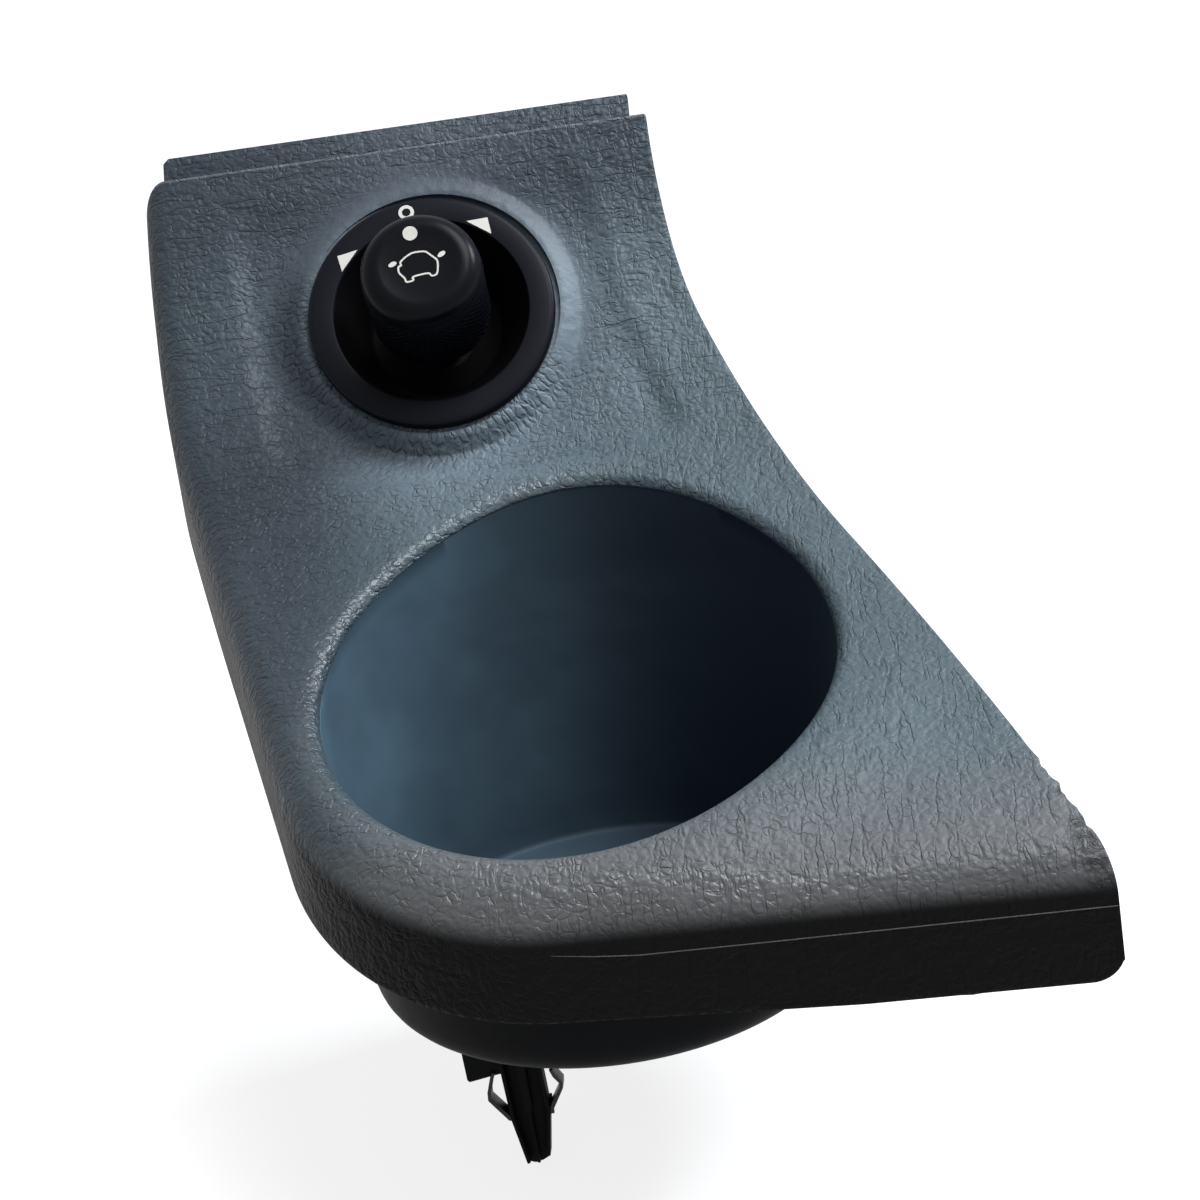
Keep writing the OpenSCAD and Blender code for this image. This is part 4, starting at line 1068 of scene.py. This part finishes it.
# Switch bezel
bezel = Shell()
bezel_profile = [
    (BEZEL_R, -BEZEL_T), (BEZEL_R, -0.9), (BEZEL_R - 0.08, -0.55), (BEZEL_R - 0.3, -0.25),
    (BEZEL_R - 0.65, -0.08), (BEZEL_R - 1.1, 0.0), (FACE_R + 0.5, 0.0), (FACE_R + 0.2, -0.06),
    (FACE_R, -0.3), (FACE_R - 0.2, -0.8), (FACE_R - 0.5, -1.4), (15.2, -3.9), (13.6, -6.6), (12.2, -9.3),
    (11.8, -10.1), (11.2, -BOWL_DEPTH), (8.0, -BOWL_DEPTH), (BOWL_HOLE_R + 0.05, -10.6),
    (BOWL_HOLE_R, -10.8), (BOWL_HOLE_R, -12.0), (BOWL_FLOOR_R + 0.7, -12.0), (17.2, -3.3),
    (17.2, -BEZEL_T), (BEZEL_R, -BEZEL_T),
]
# gaps of the profile that lie inside the bowl
BOWL_GAPS = range(8, 20)
bezel_slots = [1 if j in BOWL_GAPS else 0 for j in range(len(bezel_profile) - 1)]
lathe(bezel, bezel_profile, 160, bezel_slots)
bezel_piece = bezel.build("switch_bezel_ring", [BEZEL_FINISH, BOWL_FINISH])
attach(bezel_piece, "panel")
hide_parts("switch_bezel")

# Knob
KNURL_COUNT, KNURL_RISE, KNURL_DEPTH, KNURL_TOP = 52, 1.5, 0.34, 13.6
SHOULDER_R = 3.0
HOLLOW_TOP, HOLLOW_R = 17.0, 5.9


def knurl(angle, h):
    """Small four-sided pyramids where two screw patterns cross."""
    def tooth(v):
        return np.abs((v % 1.0) - 0.5) * 2

    turn = angle * KNURL_COUNT / (2 * pi)
    both = np.minimum(tooth(turn + h / KNURL_RISE), tooth(turn - h / KNURL_RISE))
    return (both - 1) * KNURL_DEPTH


knob = Shell()
knob_profile = [(0.01, 17.97), (2.0, 17.98), (4.0, 18.01), (5.6, 18.09), (6.5, 18.21), (6.9, KNOB_H)]
for b in np.linspace(90, 0, 12):
    b = radians(b)
    r = KNOB_R - 0.25 - SHOULDER_R * (1 - cos(b))
    knob_profile.append((r, KNOB_H - SHOULDER_R * (1 - sin(b))))
knob_profile += [(KNOB_R - 0.2, 14.6), (KNOB_R - 0.1, KNURL_TOP + 0.5), (KNOB_R - 0.05, KNURL_TOP + 0.1)]
for h in np.linspace(KNURL_TOP, KNOB_LOW + 0.6, 84):
    edge = min(1.0, (KNURL_TOP - h) / 0.5 + 0.15, (h - KNOB_LOW - 0.6) / 0.5 + 0.15)
    knob_profile.append((KNOB_R, float(h), edge))
knob_profile += [(KNOB_R - 0.3, KNOB_LOW + 0.2), (KNOB_R - 0.7, KNOB_LOW), (KNOB_R - 1.6, KNOB_LOW)]
knob_profile += [(KNOB_R - 1.6, HOLLOW_TOP), (HOLLOW_R, HOLLOW_TOP), (HOLLOW_R, 2.0), (4.3, 2.0)]
knob_profile += [(4.3, HOLLOW_TOP - 4.4), (0.01, HOLLOW_TOP - 4.4)]
lathe(knob, knob_profile, 416, bump=knurl)
knob_piece = knob.build("mirror_knob", [KNOB_FINISH])
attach(knob_piece, "knob")
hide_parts("knob_cap")


# Printed marks
def disc_outline(x, y, rx, ry, n=28, turn=0.0):
    """Outline of a round or oval mark."""
    pts = []
    for i in range(n):
        t = 2 * pi * i / n
        u, v = rx * cos(t), ry * sin(t)
        pts.append((x + u * cos(turn) - v * sin(turn), y + u * sin(turn) + v * cos(turn)))
    return pts


def printed(shell, outline, low, high):
    """A filled printed mark, thin and flat in the switch's frame."""
    add_prism(shell, outline, lambda p: from_switch(p[:, 0], p[:, 1], p[:, 2]), low, high, 0.0, 0)


def printed_line(shell, points, width, height_at, thick=0.05):
    """A closed printed line as a band that follows the knob's top."""
    pts = np.array(points, float)
    ahead, behind = np.roll(pts, -1, axis=0), np.roll(pts, 1, axis=0)
    t1, t2 = ahead - pts, pts - behind
    t1 /= np.linalg.norm(t1, axis=1)[:, None]
    t2 /= np.linalg.norm(t2, axis=1)[:, None]
    n1 = np.column_stack([-t1[:, 1], t1[:, 0]])
    n2 = np.column_stack([-t2[:, 1], t2[:, 0]])
    mitre = n1 + n2
    mitre /= np.maximum((mitre * n1).sum(axis=1), 0.5)[:, None]
    left, right = pts + mitre * width / 2, pts - mitre * width / 2
    rows = []
    for side, up in ((left, -0.03), (left, thick), (right, thick), (right, -0.03)):
        rows.append(from_switch(side[:, 0], side[:, 1], height_at(np.hypot(side[:, 0], side[:, 1])) + up))
    rows.append(rows[0])
    shell.grid(rows, 0, closed=True)


def cut_corners(points):
    """Rounds a closed outline by cutting each corner twice."""
    pts = np.array(points, float)
    for _ in range(2):
        ahead = np.roll(pts, -1, axis=0)
        pts = np.stack([0.8 * pts + 0.2 * ahead, 0.2 * pts + 0.8 * ahead], axis=1).reshape(-1, 2)
    return pts


def knob_face(r):
    """Height of the knob's slightly hollow top at r."""
    return np.interp(r, [0, 2, 4, 5.6, 6.5, 6.9], [17.97, 17.98, 18.01, 18.09, 18.21, 18.25])


bezel_marks = Shell()
ring_pts = np.array(disc_outline(-1.9, 19.1, 1.08, 1.08))
printed_line(bezel_marks, ring_pts, 0.62, lambda r: np.zeros_like(r))
for triangle in (
    [(-14.94, 12.81), (-14.49, 9.74), (-11.32, 13.4)],
    [(8.36, 15.6), (12.37, 12.43), (12.12, 15.68)],
):
    printed(bezel_marks, triangle, -0.03, 0.05)
bezel_print = bezel_marks.build("bezel_marks", [INK])
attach(bezel_print, "panel")

knob_marks = Shell()
DOT_X, DOT_Y, DOT_R = -0.73, 5.87, 1.25
rows = []
for size, up in ((DOT_R, -0.04), (DOT_R, 0.05), (DOT_R / 2, 0.05)):
    a, b = np.array(disc_outline(DOT_X, DOT_Y, size, size)).T
    rows.append(from_switch(a, b, knob_face(np.hypot(a, b)) + up))
ids = knob_marks.grid(rows, 0, closed=True)
knob_marks.face(ids[-1], 0)
knob_marks.face(ids[0][::-1], 0)
car = [
    (-3.1, 0.96), (-2.9, 0.34), (-3.48, 0.25), (-3.52, -0.9), (-2.61, -2.02), (-2.53, -2.81),
    (-1.17, -2.66), (-1.43, -1.92), (1.5, -1.66), (1.82, -2.41), (2.84, -2.2), (3.23, 0.24),
    (2.56, 1.02), (2.0, 1.62), (1.32, 2.32), (-0.79, 2.42), (-2.12, 1.76),
]
printed_line(knob_marks, cut_corners(car), 0.3, knob_face)
for x, y, turn in ((-4.35, 0.8, 0.35), (3.95, 1.28, 0.5)):
    oval = disc_outline(x, y, 0.75, 0.42, 20, turn)
    z = float(knob_face(hypot(x, y)))
    printed(knob_marks, oval, z - 0.06, z + 0.06)
knob_print = knob_marks.build("knob_marks", [INK])
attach(knob_print, "knob")


# Floor, light, camera
def seen_rays(add):
    """1 for the rays that reach the eye, straight, in a shine or through something, and 0 for the rest."""
    seen = add("LightPath", give="Is Camera Ray")
    for kind in ("Is Glossy Ray", "Is Transmission Ray"):
        ray_kind = add("LightPath", give=kind)
        seen = add(HIGHER, (seen, ray_kind))
    return seen


def floor_material():
    """Pale floor, white to the eye, that keeps the object's shadow."""
    m, add, mm = new_material("pale_floor")
    away = add("VectorMath LENGTH", (mm,), "Value")
    glare = (away, 120.0, 500.0, 0.82, 1.0)
    white = add(RAMP, glare)
    white = add(TIMES, (white, seen_rays(add)))
    matt = add("BsdfDiffuse", {"Color": linear("#a8a8a8")})
    glow = add("Emission", {"Color": (1, 1, 1, 1), "Strength": white})
    both = add("AddShader", (matt, glow))
    add("OutputMaterial", {"Surface": both})
    return m


FLOOR_Z, FLOOR_HALF = cad_low[2], 12.0
corners = [(x * FLOOR_HALF, y * FLOOR_HALF, FLOOR_Z) for x, y in ((-1, -1), (1, -1), (1, 1), (-1, 1))]
floor_mesh = bpy.data.meshes.new("floor")
floor_mesh.from_pydata(corners, [], [(0, 1, 2, 3)])
floor_mesh.materials.append(floor_material())
floor = bpy.data.objects.new("floor", floor_mesh)
bpy.context.scene.collection.objects.link(floor)

world = bpy.data.worlds.new("plain_world")
bpy.context.scene.world = world
world.use_nodes = True
world.node_tree.nodes.clear()
# a white surround to the eye that lights the object only softly
add = partial(shader, world.node_tree)
strength = add(TIMES_PLUS, (seen_rays(add), 0.78, 0.22))
sky = add("Background", {"Color": (1, 1, 1, 1), "Strength": strength})
add("OutputWorld", {"Surface": sky})


def area_lamp(name, place, aim, size, watts, colour):
    """A square lamp at place that points at aim, both in metres."""
    data = bpy.data.lights.new(name, "AREA")
    data.size, data.energy, data.color = size, watts, linear(colour)[:3]
    lamp = bpy.data.objects.new(name, data)
    lamp.location = place
    d = np.array(aim) - np.array(place)
    lamp.rotation_euler = (acos(-d[2] / np.linalg.norm(d)), 0, atan2(d[0], -d[1]) + pi)
    bpy.context.scene.collection.objects.link(lamp)
    return lamp


area_lamp("overhead", (0.26, -0.03, 0.64), (0.02, 0.02, 0.05), 0.34, 5.0, "#fbfcff")
area_lamp("side_window", (0.44, 0.2, 0.40), (0, 0, 0.04), 0.14, 2.6, "#eef5ff")

camera_data = bpy.data.cameras.new("photo_view")
camera_data.lens, camera_data.sensor_width = 66.0, 36.0
camera_data.dof.use_dof = False
camera_data.clip_start = 0.01
camera = bpy.data.objects.new("photo_view", camera_data)
camera.location = (0.04183, -0.30589, 0.16759)
camera.rotation_euler = Euler([radians(a) for a in (69.8158, 8.4163, 3.6875)], "XYZ")
bpy.context.scene.collection.objects.link(camera)
bpy.context.scene.camera = camera
bpy.context.scene.view_settings.view_transform = "Standard"
